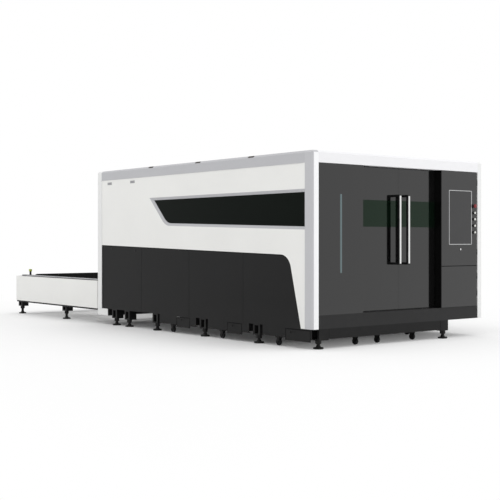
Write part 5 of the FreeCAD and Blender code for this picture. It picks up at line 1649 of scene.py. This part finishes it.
@dataclass
class Studio:
    """Floor, world light, lamps and the camera at the photograph's place."""

    camera_place: Point = (-9.382, -12.630, 1.275)
    look: tuple[float, float] = (0.6206, 0.7841)
    lens: float = 73.2
    shift: float = -0.0194
    ambient: float = 1.02
    white: float = 1.0
    footprint: tuple[float, float] = (1.45, 3.80)
    # How the floor glows white: (from, to, share) by distance beside and ahead of the machine.
    # Near and under the machine the glow is painted light: it lightens the shadow, less beside the
    # machine than ahead of it.
    beside_steps: Sequence[Point] = ((0.15, 1.6, 0.25), (1.2, 5.0, 0.75))
    ahead_steps: Sequence[Point] = ((-1.0, -0.1, 0.18), (-0.1, 0.4, 0.28), (0.4, 4.5, 0.50))
    # A glow share seen everywhere, under the machine too: painted light on its shadow.
    ahead_base: float = 0.04
    floor_reach: float = 60.0
    floor_drop: float = 0.0005
    lamps: Sequence[Softbox] = (
        Softbox("front_softbox", (4.0, -10.0, 8.0), (0.0, -3.0, 0.5), 7.0, 200.0),
        Softbox("top_softbox", (-2.0, 0.0, 9.0), (0.0, 0.0, 1.0), 8.0, 60.0))

    def make(self) -> None:
        """Build the whole studio: a broad lamp in front, a weaker one above."""
        self.make_floor()
        self.make_world()
        for lamp in self.lamps:
            lamp.make()
        self.make_camera()

    @staticmethod
    def seen(tree: Tree) -> Field:
        """Return 1 where a surface is seen directly, in gloss or through glass."""
        ray = tree.node("ShaderNodeLightPath")
        return (ray["Is Camera Ray"] + ray["Is Glossy Ray"] + ray["Is Transmission Ray"]).clamped()

    def make_floor(self) -> None:
        """Make the pale floor, which keeps the shadow and is seen white further out; near the
        machine its glow is painted light that lightens the shadow, more ahead of it than beside
        it.
        """
        tree = Shading("studio_floor")
        half_width, half_length = self.footprint
        beside = abs(tree.axis("X")) - half_width
        ahead = abs(tree.axis("Y")) - half_length
        wide = sum(beside.rises(low, high) * share for low, high, share in self.beside_steps)
        long = sum((ahead.rises(low, high) * share for low, high, share in self.ahead_steps),
                   self.ahead_base)
        # Painted light: the floor's glow, seen white far out, also lightens the shadow near and
        # under the machine.
        backdrop_glow_and_painted_light = self.seen(tree) * wide.or_more(long)
        grain = tree.noise(3.0, 2.0)
        tone = tree.blend(grain, (0.87, 0.87, 0.87), (0.89, 0.89, 0.89))
        rough = tree.node("ShaderNodeBsdfDiffuse", None, {"Color": tone})[0]
        glow = tree.node("ShaderNodeEmission", None, {"Color": (1, 1, 1, 1),
                                                      "Strength": self.white})[0]
        mixed = tree.node("ShaderNodeMixShader", None, {0: backdrop_glow_and_painted_light, 1: rough, 2: glow})[0]
        tree.node("ShaderNodeOutputMaterial", None, {"Surface": mixed})
        mesh = bpy.data.meshes.new("floor")
        reach = self.floor_reach
        mesh.from_pydata([(-reach, -reach, 0), (reach, -reach, 0), (reach, reach, 0),
                          (-reach, reach, 0)], [], [(0, 1, 2, 3)])
        mesh.materials.append(tree.material)
        floor = bpy.data.objects.new("studio_floor", mesh)
        floor.location.z = -self.floor_drop
        bpy.context.scene.collection.objects.link(floor)

    def make_world(self) -> None:
        """Make an even pale world, white where it is seen directly or in gloss."""
        world = bpy.data.worlds.new("studio")
        bpy.context.scene.world = world
        world.use_nodes = True
        tree = Tree(world.node_tree)
        strength = self.ambient + self.seen(tree) * (self.white - self.ambient)
        light = tree.node("ShaderNodeBackground", None, {"Color": (1, 1, 1, 1),
                                                         "Strength": strength})[0]
        tree.node("ShaderNodeOutputWorld", None, {"Surface": light})

    def make_camera(self) -> None:
        """Make the camera and use it."""
        data = bpy.data.cameras.new("photo_view")
        data.sensor_width = 36.0
        data.lens = self.lens
        data.shift_y = self.shift
        data.clip_end = 200.0
        camera = bpy.data.objects.new("photo_view", data)
        camera.location = self.camera_place
        camera.rotation_euler = (math.pi / 2, 0.0, -math.atan2(*self.look))
        bpy.context.scene.collection.objects.link(camera)
        bpy.context.scene.camera = camera


def main() -> None:
    """Build the studio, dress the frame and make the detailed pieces."""
    logging.basicConfig(level=logging.INFO, format="%(message)s")
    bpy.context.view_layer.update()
    scene = bpy.context.scene
    scene.view_settings.view_transform = "Standard"
    Studio().make()
    makers: Sequence[Any] = (
        CadDressing(), LevellingFeet(), Casters(),
        Pallet("inner_pallet", 1.450, 0.525, Body.INNER_PALLET, "pallet_inner"),
        Pallet("outer_pallet", 5.000, 0.390, Body.OUTER_PALLET, "pallet_outer"),
        Handles(), ConsoleFittings(), PanelFittings(), ShadowGapStrips(), Fasteners(), CuttingHead(),
        SillCaps(), TableFittings())
    for maker in makers:
        maker.make()


if __name__ == "__main__":
    main()
